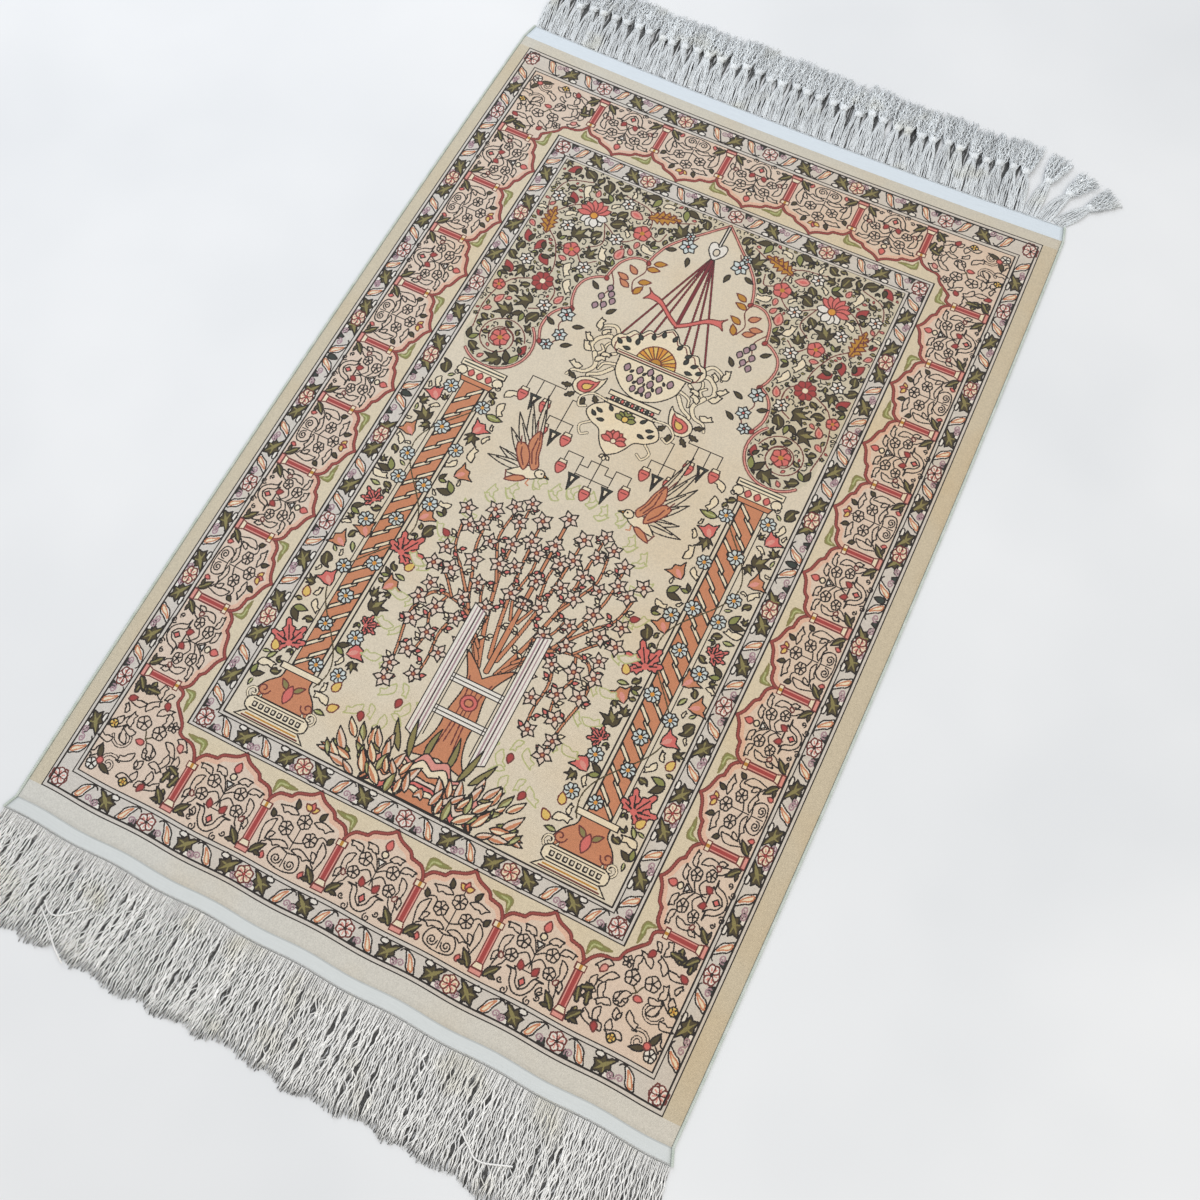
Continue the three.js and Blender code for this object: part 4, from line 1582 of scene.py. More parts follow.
def pile_band(number, chart, material):
    """One band of the pile, across the whole width"""
    first = FACE_ROWS * number // PILE_BANDS
    last = FACE_ROWS * (number + 1) // PILE_BANDS
    row = np.arange(first, last + 1)
    u, v = np.meshgrid(np.linspace(0, PILE_WIDTH, FACE_COLUMNS + 1), row * PILE_LENGTH / FACE_ROWS)
    edge = (u == 0) | (u == PILE_WIDTH) | (v == 0) | (row == FACE_ROWS)[:, None]
    z = np.where(edge, CLOTH_HEIGHT + GROUND_CLEAR, PILE_HEIGHT + uneven(u, v))
    faces = grid_faces(*u.shape)
    name = f"pile_band_{number + 1}"
    band = make_piece(name, lay(u, v, z), faces, material, "rug_body")
    cloth_uv(band, np.stack([u, v], -1), faces)
    packed = packed_rows(chart[first * CELLS_PER_FACE:last * CELLS_PER_FACE])
    for cell_row in range(CELLS_PER_FACE):
        set_faces(band, KNOT_ROW.format(cell_row), packed[..., cell_row])
    set_uv(band, FACE_UV, np.tile(FACE_CORNERS, (len(faces), 1)))
    return band


def ground_places():
    """The flat places of the woven cloth's grid, with the flat-woven ends"""
    rows = np.concatenate([
        np.linspace(-KILIM_BOTTOM, 0, BACK_END_STEPS, endpoint=False),
        np.linspace(0, PILE_LENGTH, BACK_ROWS + 1),
        np.linspace(PILE_LENGTH, PILE_LENGTH + KILIM_TOP, BACK_END_STEPS + 1)[1:],
    ])
    return np.meshgrid(np.linspace(0, PILE_WIDTH, BACK_COLUMNS + 1), rows)


def ground_sheet(chart):
    """The woven cloth under the pile: its top, its back and its thin edges"""
    u, v = ground_places()
    top = grid_faces(*u.shape)
    back = top[:, ::-1] + u.size
    edge = rim(*u.shape)
    following = np.roll(edge, -1)
    walls = np.stack([edge + u.size, following + u.size, following, edge], -1)
    faces = np.vstack([top, back, walls])
    points = np.stack([lay(u, v, CLOTH_HEIGHT), lay(u, v, 0)])
    sheet = make_piece("rug_ground", points, faces, ground_material(), "rug_body")
    places = np.stack([u, v], -1).reshape(-1, 2)
    cloth_uv(sheet, np.vstack([places, places]), faces)
    corners = [np.tile(order, (len(top), 1)) for order in (FACE_CORNERS, FACE_CORNERS[::-1])]
    set_uv(sheet, FACE_UV, np.vstack(corners + [np.zeros((4 * len(walls), 2))]))
    carry_back(sheet, chart, len(walls))
    return sheet


def carry_back(sheet, chart, wall_count):
    """Gives the back's faces their part of the chart, and marks them"""
    step = CELLS_PER_FACE * BACK_SKIP
    knotted = slice(BACK_END_STEPS, BACK_END_STEPS + BACK_ROWS)
    cells = np.zeros((BACK_ROWS + 2 * BACK_END_STEPS, BACK_COLUMNS, CELLS_PER_FACE))
    is_back = np.zeros(cells.shape[:2])
    cells[knotted] = packed_rows(chart[:BACK_ROWS * step:BACK_SKIP, :BACK_COLUMNS * step:BACK_SKIP])
    is_back[knotted] = 1
    walls = np.zeros(wall_count)
    for row in range(CELLS_PER_FACE):
        both = cells[..., row].ravel()
        set_faces(sheet, KNOT_ROW.format(row), np.concatenate([both, both, walls]))
    set_faces(sheet, BACK, np.concatenate([np.zeros(is_back.size), is_back.ravel(), walls]))


# Threads


def tubes(paths, radii, sides, flat=1.0):
    """Points and quads of many thin tubes that follow paths of equal steps, flattened by a share"""
    along = np.gradient(paths, axis=1)
    along /= np.linalg.norm(along, axis=-1, keepdims=True)
    side = np.cross(along, (0, 0, 1))
    side /= np.maximum(np.linalg.norm(side, axis=-1, keepdims=True), 1e-9)
    up = np.cross(side, along)
    turn = (TURN * (np.arange(sides) / sides + 0.25))[:, None]
    rings = np.cos(turn) * side[:, :, None] + np.sin(turn) * up[:, :, None] * flat
    points = paths[:, :, None] + np.broadcast_to(radii, paths.shape[:2])[..., None, None] * rings
    here = np.arange(paths.shape[0] * paths.shape[1]).reshape(paths.shape[:2])[..., None] * sides
    a, b = here + np.arange(sides), here + (np.arange(sides) + 1) % sides
    faces = np.stack([a[:, :-1], a[:, 1:], b[:, 1:], b[:, :-1]], -1)
    return points.reshape(-1, 3), faces.reshape(-1, 4)


def thread_uv(paths, sides):
    """For each face corner: the share of the way round its thread, and the length along it"""
    steps = np.linalg.norm(np.diff(paths, axis=1), axis=-1)
    along = np.cumsum(np.pad(steps, ((0, 0), (1, 0))), 1)
    along = along + RANDOM.uniform(0, THREAD_SHIFT, (len(paths), 1))
    near, far = (np.repeat(part.ravel(), sides) for part in (along[:, :-1], along[:, 1:]))
    left = np.tile(np.arange(sides) / sides, len(near) // sides)
    right = left + 1 / sides
    return np.stack([left, near, left, far, right, far, right, near], 1).reshape(-1, 2)


def thread_piece(name, bundles, material, node):
    """Joins bundles of threads: each is (paths, radii, tones, sides), with tones by thread and step"""
    points, faces, tones, places, start = [], [], [], [], 0
    for paths, radii, tone, sides in bundles:
        p, f = tubes(paths, radii, sides, THREAD_FLATNESS)
        points.append(p)
        faces.append(f + start)
        start += len(p)
        count, steps = paths.shape[:2]
        tones.append(np.repeat(np.broadcast_to(tone, (count, steps - 1)).ravel(), sides))
        places.append(thread_uv(paths, sides))
    made = make_piece(name, np.vstack(points), np.vstack(faces), material, node)
    set_faces(made, TONE, np.concatenate(tones))
    set_uv(made, CLOTH_UV, np.concatenate(places))
    return made


def jitter(count, low, high):
    """One random number for each thread"""
    return RANDOM.uniform(low, high, (count, 1))


def grain(tone, count, steps):
    """Tones that differ a little between threads and between the steps of each thread"""
    return tone * jitter(count, *THREAD_TONES) * RANDOM.uniform(*STEP_TONES, (count, steps - 1))


def crinkle(count, steps, length, size, pitch):
    """Small sideways kinks, from the root on: two waves of random length and start a thread"""
    s = np.linspace(0, 1, steps)
    total = 0
    for share in (1, 0.5):
        own_pitch = pitch * jitter(count, *PITCH_RANGE) / share
        total = total + share * np.sin(TURN * (s * length / own_pitch + RANDOM.random((count, 1))))
    return size * total * np.minimum(1, s * 6)


# The bottom fringe


def lock_edges():
    """Uneven borders between the locks"""
    count = round(PILE_WIDTH / LOCK_PITCH)
    edges = np.linspace(0, PILE_WIDTH, count + 1)
    edges[1:-1] += RANDOM.uniform(-LOCK_UNEVEN, LOCK_UNEVEN, count - 1) * LOCK_PITCH
    return edges


def in_lock(u, edges):
    """How far off their lock's middle threads start, from -1 to 1, and the lock's width"""
    lock = np.clip(np.searchsorted(edges, u, side="right") - 1, 0, len(edges) - 2)
    middle = (edges[lock] + edges[lock + 1]) / 2
    width = edges[lock + 1] - edges[lock]
    return (u - middle) / width * 2, width


def lock_length(u, off_centre):
    """The threads' lengths: waves along the fringe, and locks with rounded ends"""
    length = LOCK_LENGTH
    for height, radian in END_WAVES:
        length = length + height * np.sin(u / radian)
    return length - END_ROUND * off_centre ** 2 + RANDOM.normal(0, END_SPREAD, u.shape)


def lock_sway(u, s, off_centre, width):
    """How far threads stray aside: fanned out, drawn together in their lock, and waving"""
    fan = LOCK_SPREAD * (2 * u / PILE_WIDTH - 1) * s ** LOCK_BEND
    pull = LOCK_PULL * off_centre * width / 2 * s ** 2
    wave = LOCK_SWAY * np.sin(TURN * (u / SWAY_PITCH + s * SWAY_TURNS)) * s
    return fan - pull + wave


def part_slits(at, down, slits):
    """Pushes threads apart at both sides of each slit"""
    for place, depth, reach in slits:
        near = np.exp(-((down - depth) / reach) ** 2)
        push = np.exp(-np.abs(at - place) / SLIT_EASE) * np.sign(at - place)
        at = at + SLIT_WIDTH * push * near
    return at


def lock_threads(count, height, radius, tone, edges, slits):
    """One layer of the bottom fringe's threads"""
    s = np.linspace(0, 1, LOCK_STEPS)
    u = (np.arange(count)[:, None] + jitter(count, *LOCK_STARTS)) / count * PILE_WIDTH
    off_centre, width = in_lock(u, edges)
    down = s * lock_length(u, off_centre)
    at = part_slits(u + lock_sway(u, s, off_centre, width), down, slits)
    at = at + crinkle(count, LOCK_STEPS, LOCK_LENGTH, *LOCK_KINK)
    lift = height + LIFT * crinkle(count, LOCK_STEPS, LOCK_LENGTH, 1.0, LIFT_PITCH) * s
    root = lay(u, -KILIM_BOTTOM - ROOT_DEPTH)
    x = root[..., 0] + (at - u)
    y = root[..., 1] - down
    taper, tip = LOCK_TIP
    thick = radius * np.clip((1 - s) * taper, tip, 1) * jitter(count, *RADIUS_RANGE)
    tones = grain(tone, count, LOCK_STEPS)
    tones = tones + (ROOT_TONE - tones) * np.clip(1 - s[1:] / ROOT_SHARE, 0, 1)
    return np.stack([x, y, np.maximum(lift, radius * LOWEST_SHARE)], -1), thick, tones, THREAD_SIDES


def stray_thread(points):
    """A thread that lies across the others, an even curve through a few points"""
    p = np.array(points, float)
    t = np.linspace(0, len(p) - 1, LOCK_STEPS)
    whole = np.clip(t.astype(int), 0, len(p) - 2)
    leads = with_leads(p)
    path = between(*(leads[whole + k] for k in range(4)), (t - whole)[:, None])
    x = lay(path[:, 0], -KILIM_BOTTOM)[:, 0]
    return np.stack([x, FOOT + path[:, 1], np.full(len(x), STRAY_HEIGHT)], -1)


def bottom_fringe(material):
    edges = lock_edges()
    slits = np.stack([RANDOM.uniform(*span, SLIT_COUNT) for span in SLIT_RANGES], 1)
    # The shadow layer is a painted shadow under the others, and the lower layer is darkened as painted shade
    shadow_layer, lower, upper = (
        lock_threads(*values, edges, slits if name != "shadow_layer" else [])
        for name, values in LOCK_LAYERS.items()
    )
    strays = np.array([stray_thread(points) for points in STRAYS]), STRAY_RADIUS, STRAY_TONE, THICK_SIDES
    return [
        thread_piece("fringe_bottom_under", [shadow_layer, lower], material, "fringe_bottom"),
        thread_piece("fringe_bottom_over", [upper, strays], material, "fringe_bottom"),
    ]


# The top fringe


def tassel_path(root, headings, length):
    """A tassel's middle line, bending evenly from one heading to another, and its directions"""
    s = np.linspace(0, 1, TASSEL_STEPS)
    turn = np.radians(headings[0] + (headings[1] - headings[0]) * s)
    step = np.stack([np.sin(turn), np.cos(turn)], -1) * length / (TASSEL_STEPS - 1)
    return root + np.vstack([(0, 0), np.cumsum((step[1:] + step[:-1]) / 2, 0)]), turn


def tassel_form(s):
    """Width and height of a tassel at shares of its length"""
    shares, widths, heights = np.array(TASSEL_FORM).T
    return np.interp(s, shares, widths), np.interp(s, shares, heights)


def tassel(number):
    """The threads of one tassel: its bundle, its knot and its skirt"""
    u = PILE_WIDTH * (number + 0.5) / TASSEL_COUNT
    root = lay(u, PILE_LENGTH + KILIM_TOP + ROOT_DEPTH)[:2]
    from_right = TASSEL_COUNT - 1 - number
    first, last, share = CORNER_TASSELS.get(from_right, (*TASSEL_HEADINGS, 1.0))
    headings = [h + RANDOM.normal(0, spread) for h, spread in zip((first, last), HEADING_SPREADS)]
    line, turn = tassel_path(root, headings, TASSEL_LENGTH * share)
    tone = RANDOM.uniform(*TASSEL_TONES)
    knot_at = KNOT_AT + RANDOM.normal(0, KNOT_SPREAD)

    def place(s, aside, height):
        """From shares along the tassel, offsets across it and heights to points"""
        steps = np.arange(TASSEL_STEPS)
        x, y, a = (np.interp(s * (TASSEL_STEPS - 1), steps, values) for values in (*line.T, turn))
        return np.stack([x + aside * np.cos(a), y - aside * np.sin(a), height], -1)

    return [
        bundle_threads(place, knot_at, tone),
        knot_threads(place, knot_at, tone),
        skirt_threads(place, knot_at, tone, share),
    ]


def bundle_threads(place, knot_at, tone):
    """Threads from the cloth's edge, gathered into the knot"""
    count, steps = BUNDLE_THREADS, BUNDLE_STEPS
    t = np.linspace(0, 1, steps)
    s = t[None, :] * knot_at
    width, height = tassel_form(s * KNOT_AT / knot_at)
    around = np.linspace(-0.1, 1.1, count)[:, None] * math.pi
    around = around + RANDOM.normal(0, BUNDLE_SPREAD, (count, 1))
    aside = np.cos(around) * (width / 2 - BUNDLE_INSET)
    aside = aside + crinkle(count, steps, TASSEL_LENGTH * KNOT_AT, *BUNDLE_KINK)
    level = np.clip(np.sin(around) * 0.5 + 0.5, 0.15, 1) * (height - BUNDLE_INSET)
    level = level + jitter(count, *BUNDLE_LIFT)
    paths = place(np.broadcast_to(s, aside.shape), aside, np.maximum(level, BUNDLE_INSET))
    tones = tone * jitter(count, *STEP_TONES)
    near_root = np.clip(1 - t[1:] * 3, 0, 1)
    return paths, BUNDLE_RADIUS, tones + (1 - tones) * near_root, THREAD_SIDES


def knot_threads(place, knot_at, tone):
    """The overhand knot: a few turns of thread wound round the bundle"""
    wind = np.linspace(0, 1, KNOT_STEPS)
    bulge = np.sqrt(np.maximum(1 - (2 * wind - 1) ** 2, 0.2))
    paths = []
    for start, lean in KNOT_WINDS:
        a = TURN * (KNOT_TURNS * wind + start)
        s = knot_at + (wind - 0.5) * KNOT_SPAN / TASSEL_LENGTH
        s = s + lean * KNOT_LEAN * np.cos(a) / TASSEL_LENGTH
        aside = np.cos(a) * KNOT_WIDTH / 2 * bulge
        level = KNOT_HEIGHT / 2 + np.sin(a) * (KNOT_HEIGHT / 2 - KNOT_INSET) * bulge
        paths.append(place(s, aside, level))
    return np.array(paths), KNOT_RADIUS, tone, THICK_SIDES


def past_end(place, over):
    """What carries points straight on past the tassel's end"""
    before, end = place(np.array([0.98, 1.0]), np.zeros(2), np.zeros(2))
    ahead = (end - before) / np.linalg.norm(end - before)
    return over[..., None] * ahead


def skirt_threads(place, knot_at, tone, share):
    """Loose, kinked threads below the knot"""
    count, steps = SKIRT_THREADS, SKIRT_STEPS
    t = np.linspace(0, 1, steps)
    length = SKIRT_LENGTH * share * jitter(count, *SKIRT_LENGTHS)
    fan = jitter(count, -1, 1)
    spread = SKIRT_SPREAD * fan * (0.25 + 0.75 * t ** 0.8) + SKIRT_ROOT * fan
    s = knot_at + t * length / (TASSEL_LENGTH * share)
    aside = spread + crinkle(count, steps, SKIRT_LENGTH, *SKIRT_KINK)
    level = jitter(count, 0.1, 1) * (SKIRT_HEIGHT - SKIRT_FALL * t)
    level = level + SKIRT_LIFT * crinkle(count, steps, SKIRT_LENGTH, 1.0, SKIRT_LIFT_PITCH)
    paths = place(np.minimum(s, 1), aside, np.maximum(level, SKIRT_LOWEST))
    paths = paths + past_end(place, np.maximum(s - 1, 0) * TASSEL_LENGTH * share)
    taper, tip = SKIRT_TIP
    thick = SKIRT_RADIUS * jitter(count, *RADIUS_RANGE) * np.clip((1 - t) * taper, tip, 1)
    height = np.clip(level.mean(1) / SKIRT_TOP, 0, 1)
    # Painted shade: the lower a skirt thread lies, the darker its tone
    tones = grain(tone, count, steps) * (SKIRT_LOW_PAINTED_SHADE + SKIRT_PAINTED_SHADE_RISE * height[:, None])
    return paths, thick, tones, THREAD_SIDES


def painted_shadow_threads():
    """Flat, dark threads that fill the gaps between the tassels as a painted shadow"""
    count, steps = SHADOW_THREADS, SHADE_STEPS
    u = np.sort(jitter(count, 0, SHADE_END), 0)
    root = lay(u, PILE_LENGTH + KILIM_TOP + ROOT_DEPTH)
    down = np.linspace(0, 1, steps) * SHADE_LENGTH * jitter(count, *SHADE_LENGTHS)
    lean = math.tan(math.radians(TASSEL_HEADINGS[0] / 2))
    x = root[..., 0] + down * lean + crinkle(count, steps, SHADE_LENGTH, *SHADE_KINK)
    paths = np.stack([x, root[..., 1] + down, np.full_like(x, SHADE_LEVEL)], -1)
    return paths, SHADE_RADIUS, SHADOW_THREAD_TONE * jitter(count, *SHADOW_THREAD_TONES), THREAD_SIDES


def top_fringe(material):
    tassels = [tassel(number) for number in range(TASSEL_COUNT)]
    heads = [part for made in tassels for part in made[:2]] + [painted_shadow_threads()]
    skirts = [made[2] for made in tassels]
    return [
        thread_piece("tassel_heads", heads, material, "fringe_top"),
        thread_piece("tassel_skirts", skirts, material, "fringe_top"),
    ]


# The edges: overcast cords along both sides and a twined cord along each flat-woven end


def side_cord(side, half, material):
    """Half of one side cord"""
    off = PARTING + CORD_RADIUS
    u = -off if side == "left" else PILE_WIDTH + off
    cut = (PILE_LENGTH + KILIM_TOP - KILIM_BOTTOM) / 2
    ends = {"lower": (-KILIM_BOTTOM, cut), "upper": (cut, PILE_LENGTH + KILIM_TOP)}[half]
    v = np.linspace(*ends, CORD_STEPS)
    points, faces = tubes(lay(u, v, CORD_RADIUS)[None], CORD_RADIUS, CORD_SIDES)
    name = f"side_cord_{side}_{half}"
    made = make_piece(name, points, faces, material, f"selvedge_{side}")
    places = np.repeat(np.stack([np.zeros_like(v), v], 1), CORD_SIDES, axis=0)
    cloth_uv(made, places, faces)
    return made


def twined_cord(name, v, tone, material):
    """Two threads twisted along the edge of a flat-woven end"""
    u = np.linspace(0, PILE_WIDTH, TWINE_STEPS)
    paths = []
    for start in (0, math.pi):
        a = TURN * u / TWINE_PITCH + start
        paths.append(lay(u, v + TWINE_RADIUS * np.cos(a), CLOTH_HEIGHT + TWINE_RADIUS * np.sin(a)))
    bundle = np.array(paths), TWINE_RADIUS, tone, THREAD_SIDES
    return thread_piece(name, [bundle], material, "rug_body")


# Materials


class Nodes:
    """Short calls to build a material's nodes"""

    def __init__(self, name):
        self.material = bpy.data.materials.new(name)
        self.material.use_nodes = True
        self.tree = self.material.node_tree
        self.shader = self.tree.nodes["Principled BSDF"]

    def new(self, kind, *inputs, **settings):
        node = self.tree.nodes.new(kind)
        for name, value in settings.items():
            setattr(node, name, value)
        for socket, value in zip(node.inputs, inputs):
            self.feed(socket, value)
        return node.outputs[0]

    def feed(self, socket, value):
        if isinstance(value, bpy.types.NodeSocket):
            self.tree.links.new(value, socket)
        elif value is not None:
            socket.default_value = value

    def math(self, operation, *inputs):
        return self.new("ShaderNodeMath", *inputs, operation=operation)

    def wave(self, value, rate):
        """The sine of a number times a rate"""
        return self.math("SINE", self.math("MULTIPLY", value, rate))

    def vary(self, number, spread):
        """A number between 0 and 1 as one that varies about 1 by a spread"""
        return self.math("MULTIPLY_ADD", number, spread, 1 - spread / 2)

    def uv(self, name):
        """The two coordinates of a UV map"""
        both = self.new("ShaderNodeUVMap", uv_map=name)
        split = self.new("ShaderNodeSeparateXYZ", both).node
        return split.outputs[0], split.outputs[1]

    def place(self):
        """The place on the object"""
        return self.new("ShaderNodeTexCoord").node.outputs["Object"]

    def attribute(self, name):
        return self.new("ShaderNodeAttribute", attribute_name=name).node.outputs["Fac"]

    def combine(self, x, y):
        return self.new("ShaderNodeCombineXYZ", x, y, 0.0)

    def noise(self, place, scale=1.0, detail=2.0):
        made = self.new("ShaderNodeTexNoise").node
        for name, value in (("Vector", place), ("Scale", scale), ("Detail", detail)):
            self.feed(made.inputs[name], value)
        return made.outputs["Fac"]

    def streaks(self, u, v, rates):
        """Noise drawn out along the direction of the lower rate"""
        across, up = (self.math("MULTIPLY", *both) for both in zip((u, v), rates))
        return self.noise(self.combine(across, up))

    def ramp(self, factor, stops, interpolation="LINEAR"):
        made = self.new("ShaderNodeValToRGB", factor).node
        ramp = made.color_ramp
        ramp.interpolation = interpolation
        ramp.elements.remove(ramp.elements[1])
        ramp.elements[0].position = stops[0][0]
        ramp.elements[0].color = rgba(stops[0][1])
        for position, colour in stops[1:]:
            ramp.elements.new(position).color = rgba(colour)
        return made.outputs["Color"]

    def shade(self, colour, amount):
        """A colour made lighter or darker by a number"""
        made = self.new("ShaderNodeVectorMath", colour, operation="SCALE").node
        self.feed(made.inputs["Scale"], amount)
        return made.outputs[0]

    def mix(self, share, first, second, kind="MIX"):
        made = self.tree.nodes.new("ShaderNodeMix")
        made.data_type = "RGBA"
        made.blend_type = kind
        for socket, value in zip(("Factor", "A", "B"), (share, first, second)):
            self.feed([one for one in made.inputs if one.name == socket and one.enabled][0], value)
        return [one for one in made.outputs if one.enabled][0]

    def finish(self, colour, height, distance, roughness, sheen):
        self.feed(self.shader.inputs["Base Color"], colour)
        self.shader.inputs["Roughness"].default_value = roughness
        self.shader.inputs["Sheen Weight"].default_value = sheen
        bump = self.new("ShaderNodeBump").node
        bump.inputs["Distance"].default_value = distance
        self.feed(bump.inputs["Height"], height)
        self.feed(self.shader.inputs["Normal"], bump.outputs["Normal"])
        return self.material


def rgba(colour):
    """A linear colour from a screen colour written as hexadecimal"""
    parts = [int(colour[i:i + 2], 16) / 255 for i in (1, 3, 5)]
    return (*(c / 12.92 if c <= 0.04045 else ((c + 0.055) / 1.055) ** 2.4 for c in parts), 1.0)


def cell_number(nodes, share):
    """Which of a face's cells lies at a share of the way across it"""
    number = nodes.math("FLOOR", nodes.math("MULTIPLY", share, float(CELLS_PER_FACE)))
    return nodes.math("MINIMUM", number, CELLS_PER_FACE - 1.0)


def chart_colour(nodes):
    """Unpacks the face's 4 x 4 cells and looks the cell's colour up"""
    column, row = (cell_number(nodes, share) for share in nodes.uv(FACE_UV))
    packed = 0.0
    for number in range(CELLS_PER_FACE):
        here = nodes.math("COMPARE", row, float(number), 0.1)
        packed = nodes.math("MULTIPLY_ADD", nodes.attribute(KNOT_ROW.format(number)), here, packed)
    size = float(PALETTE_SIZE)
    shifted = nodes.math("DIVIDE", packed, nodes.math("POWER", size, column))
    index = nodes.math("MODULO", nodes.math("FLOOR", shifted), size)
    factor = nodes.math("DIVIDE", nodes.math("ADD", index, 0.5), size)
    stops = [(number / size, colour) for number, colour in enumerate(PALETTE)]
    return nodes.ramp(factor, stops, "CONSTANT")


def knots(nodes, u, v):
    """A number for each knot, and the knots' rounded tops"""
    across, up = (nodes.math("DIVIDE", place, KNOT_PITCH) for place in (u, v))
    cell = nodes.combine(nodes.math("FLOOR", across), nodes.math("FLOOR", up))
    made = nodes.new("ShaderNodeTexWhiteNoise", cell, noise_dimensions="3D").node
    tops = [nodes.math("ABSOLUTE", nodes.wave(place, math.pi)) for place in (across, up)]
    return made.outputs["Value"], nodes.math("MULTIPLY", *tops)


def pile_material():
    """Cut silk pile: the chart's colours, with each knot and each row dyed a little differently, warm stains
    in patches, and a painted warm light that grows towards the right side
    """
    nodes = Nodes("cut_pile")
    u, v = nodes.uv(CLOTH_UV)
    knot, tops = knots(nodes, u, v)
    rows = nodes.streaks(u, v, ROW_NOISE)
    patches = nodes.noise(nodes.combine(u, v), PATCH_NOISE, 3.0)
    shade = nodes.vary(knot, KNOT_SHADE)
    shade = nodes.math("MULTIPLY", shade, nodes.vary(rows, ROW_SHADE))
    shade = nodes.math("MULTIPLY", shade, nodes.vary(patches, PATCH_SHADE))
    colour = nodes.shade(chart_colour(nodes), shade)
    stain = nodes.new("ShaderNodeMapRange", patches, *STAIN_RANGE, 0.0, STAIN)
    # Painted light: the warm tint grows from left to right across the pile, added to the random warm stains
    warm = nodes.math("MULTIPLY_ADD", u, RIGHT_SIDE_PAINTED_LIGHT / PILE_WIDTH, stain)
    return nodes.finish(nodes.mix(warm, colour, rgba(WARM_TINT), "MULTIPLY"), tops, *PILE_FINISH)


def ground_material():
    """Flat-woven silk at the ends, and the pattern's knots seen from the back"""
    nodes = Nodes("flat_weave")
    u, v = nodes.uv(CLOTH_UV)
    weave = nodes.math("MULTIPLY", *(nodes.wave(place, TURN / WEAVE_PITCH) for place in (u, v)))
    shade = nodes.vary(nodes.streaks(u, v, WEAVE_NOISE), WEAVE_SHADE)
    stitch = nodes.math("COMPARE", v, -STITCH_WIDTH, STITCH_WIDTH)
    shade = nodes.math("MULTIPLY_ADD", stitch, -STITCH_SHADE, shade)
    at_top = nodes.math("GREATER_THAN", v, PILE_LENGTH / 2)
    colour = nodes.ramp(at_top, [(0, BOTTOM_WEAVE), (1, TOP_WEAVE)])
    colour = nodes.mix(nodes.attribute(BACK), colour, nodes.shade(chart_colour(nodes), BACK_SHADE))
    return nodes.finish(nodes.shade(colour, shade), weave, *WEAVE_FINISH)


def thread_material(name, silk, silk_end):
    """Twisted silk threads whose tone differs from one to the next, yellower in places, with painted shade
    along the twist's grooves
    """
    nodes = Nodes(name)
    patches = nodes.noise(nodes.place(), THREAD_NOISE)
    colour = nodes.ramp(patches, [(0.56, silk), (0.78, silk_end)])
    around, along = nodes.uv(CLOTH_UV)
    twist = nodes.wave(nodes.math("MULTIPLY_ADD", along, 1 / TWIST_PITCH, around), TURN)
    # Painted shade: the colour darkens along the twist's grooves, the same wave that makes the bump
    shade = nodes.math("MULTIPLY_ADD", twist, TWIST_PAINTED_SHADE, TWIST_LEVEL)
    tone = nodes.math("MULTIPLY", nodes.attribute(TONE), shade)
    return nodes.finish(nodes.shade(colour, tone), twist, *THREAD_FINISH)


def cord_material():
    """The overcast side cord: thread wound round and round, with painted shade between its turns"""
    nodes = Nodes("wound_cord")
    _, v = nodes.uv(CLOTH_UV)
    wound = nodes.wave(v, TURN / CORD_PITCH)
    # Painted shade: darker between the turns of the wound thread, the same wave that makes the bump
    shade = nodes.math("MULTIPLY_ADD", wound, CORD_PAINTED_SHADE, CORD_LEVEL)
    spots = nodes.noise(nodes.combine(0.0, nodes.math("MULTIPLY", v, CORD_NOISE)))
    colour = nodes.ramp(spots, [(0.35, CORD_LIGHT), (0.75, CORD_DARK)])
    return nodes.finish(nodes.shade(colour, shade), wound, *CORD_FINISH)


def floor_material():
    nodes = Nodes("pale_floor")
    cloud = nodes.noise(nodes.place(), FLOOR_NOISE, 3.0)
    colour = nodes.ramp(cloud, [(0.3, FLOOR_LIGHT), (0.7, FLOOR_DARK)])
    return nodes.finish(colour, cloud, *FLOOR_FINISH)


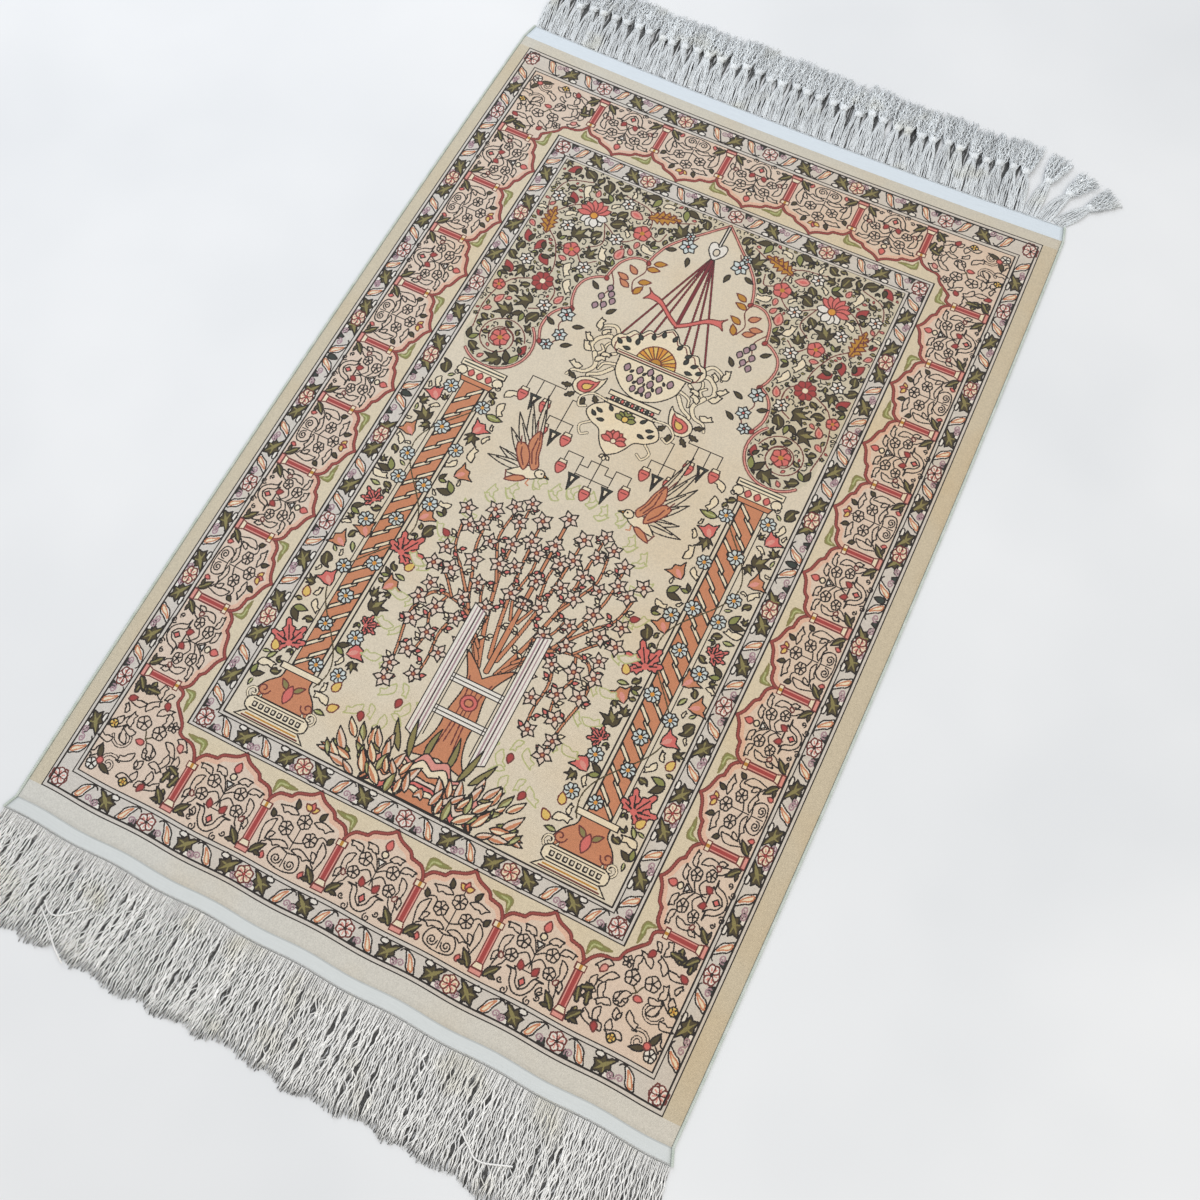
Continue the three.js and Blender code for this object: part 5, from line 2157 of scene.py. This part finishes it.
# The scene


def make_rug():
    chart = draw_rug()
    sheet = ground_sheet(chart)
    pile = pile_material()
    bands = [pile_band(number, chart, pile) for number in range(PILE_BANDS)]
    cord = cord_material()
    cords = [side_cord(side, half, cord) for side in ("left", "right") for half in ("lower", "upper")]
    bottom_silk = thread_material("fringe_bottom_thread", BOTTOM_SILK, BOTTOM_SILK_END)
    top_silk = thread_material("fringe_top_thread", TOP_SILK, TOP_SILK_END)
    fringes = bottom_fringe(bottom_silk) + top_fringe(top_silk)
    edges = [
        twined_cord("edge_cord_bottom", TWINE_IN - KILIM_BOTTOM, 0.9, bottom_silk),
        twined_cord("edge_cord_top", PILE_LENGTH + KILIM_TOP - TWINE_IN, 1.0, top_silk),
    ]


def make_floor():
    mesh = bpy.data.meshes.new("floor")
    s = FLOOR_SIZE / 2
    mesh.from_pydata([(x, y, 0) for x, y in box(-s, -s, s, s)], [], [(0, 1, 2, 3)])
    mesh.materials.append(floor_material())
    link("floor", mesh)


def make_light(name, place, size, power, colour):
    """A square lamp that looks at the rug's middle"""
    lamp = bpy.data.lights.new(name, "AREA")
    lamp.size = size
    lamp.energy = power
    lamp.color = rgba(colour)[:3]
    light = link(name, lamp)
    light.location = place
    aim = -light.location
    light.rotation_euler = aim.to_track_quat("-Z", "Y").to_euler()


def make_lights():
    for name, values in LIGHTS.items():
        make_light(name, *values)
    world = bpy.data.worlds.new("studio")
    world.use_nodes = True
    background = world.node_tree.nodes["Background"]
    background.inputs["Color"].default_value = rgba(SKY)
    background.inputs["Strength"].default_value = SKY_STRENGTH
    bpy.context.scene.world = world
    bpy.context.scene.view_settings.view_transform = "Standard"


def make_camera():
    lens = bpy.data.cameras.new("camera")
    lens.sensor_width = SENSOR_WIDTH
    lens.lens = CAMERA_LENS
    camera = link("camera", lens)
    camera.location = CAMERA_PLACE
    camera.rotation_euler = [math.radians(angle) for angle in CAMERA_ANGLES]
    bpy.context.scene.camera = camera


make_camera()
make_rug()
make_floor()
make_lights()
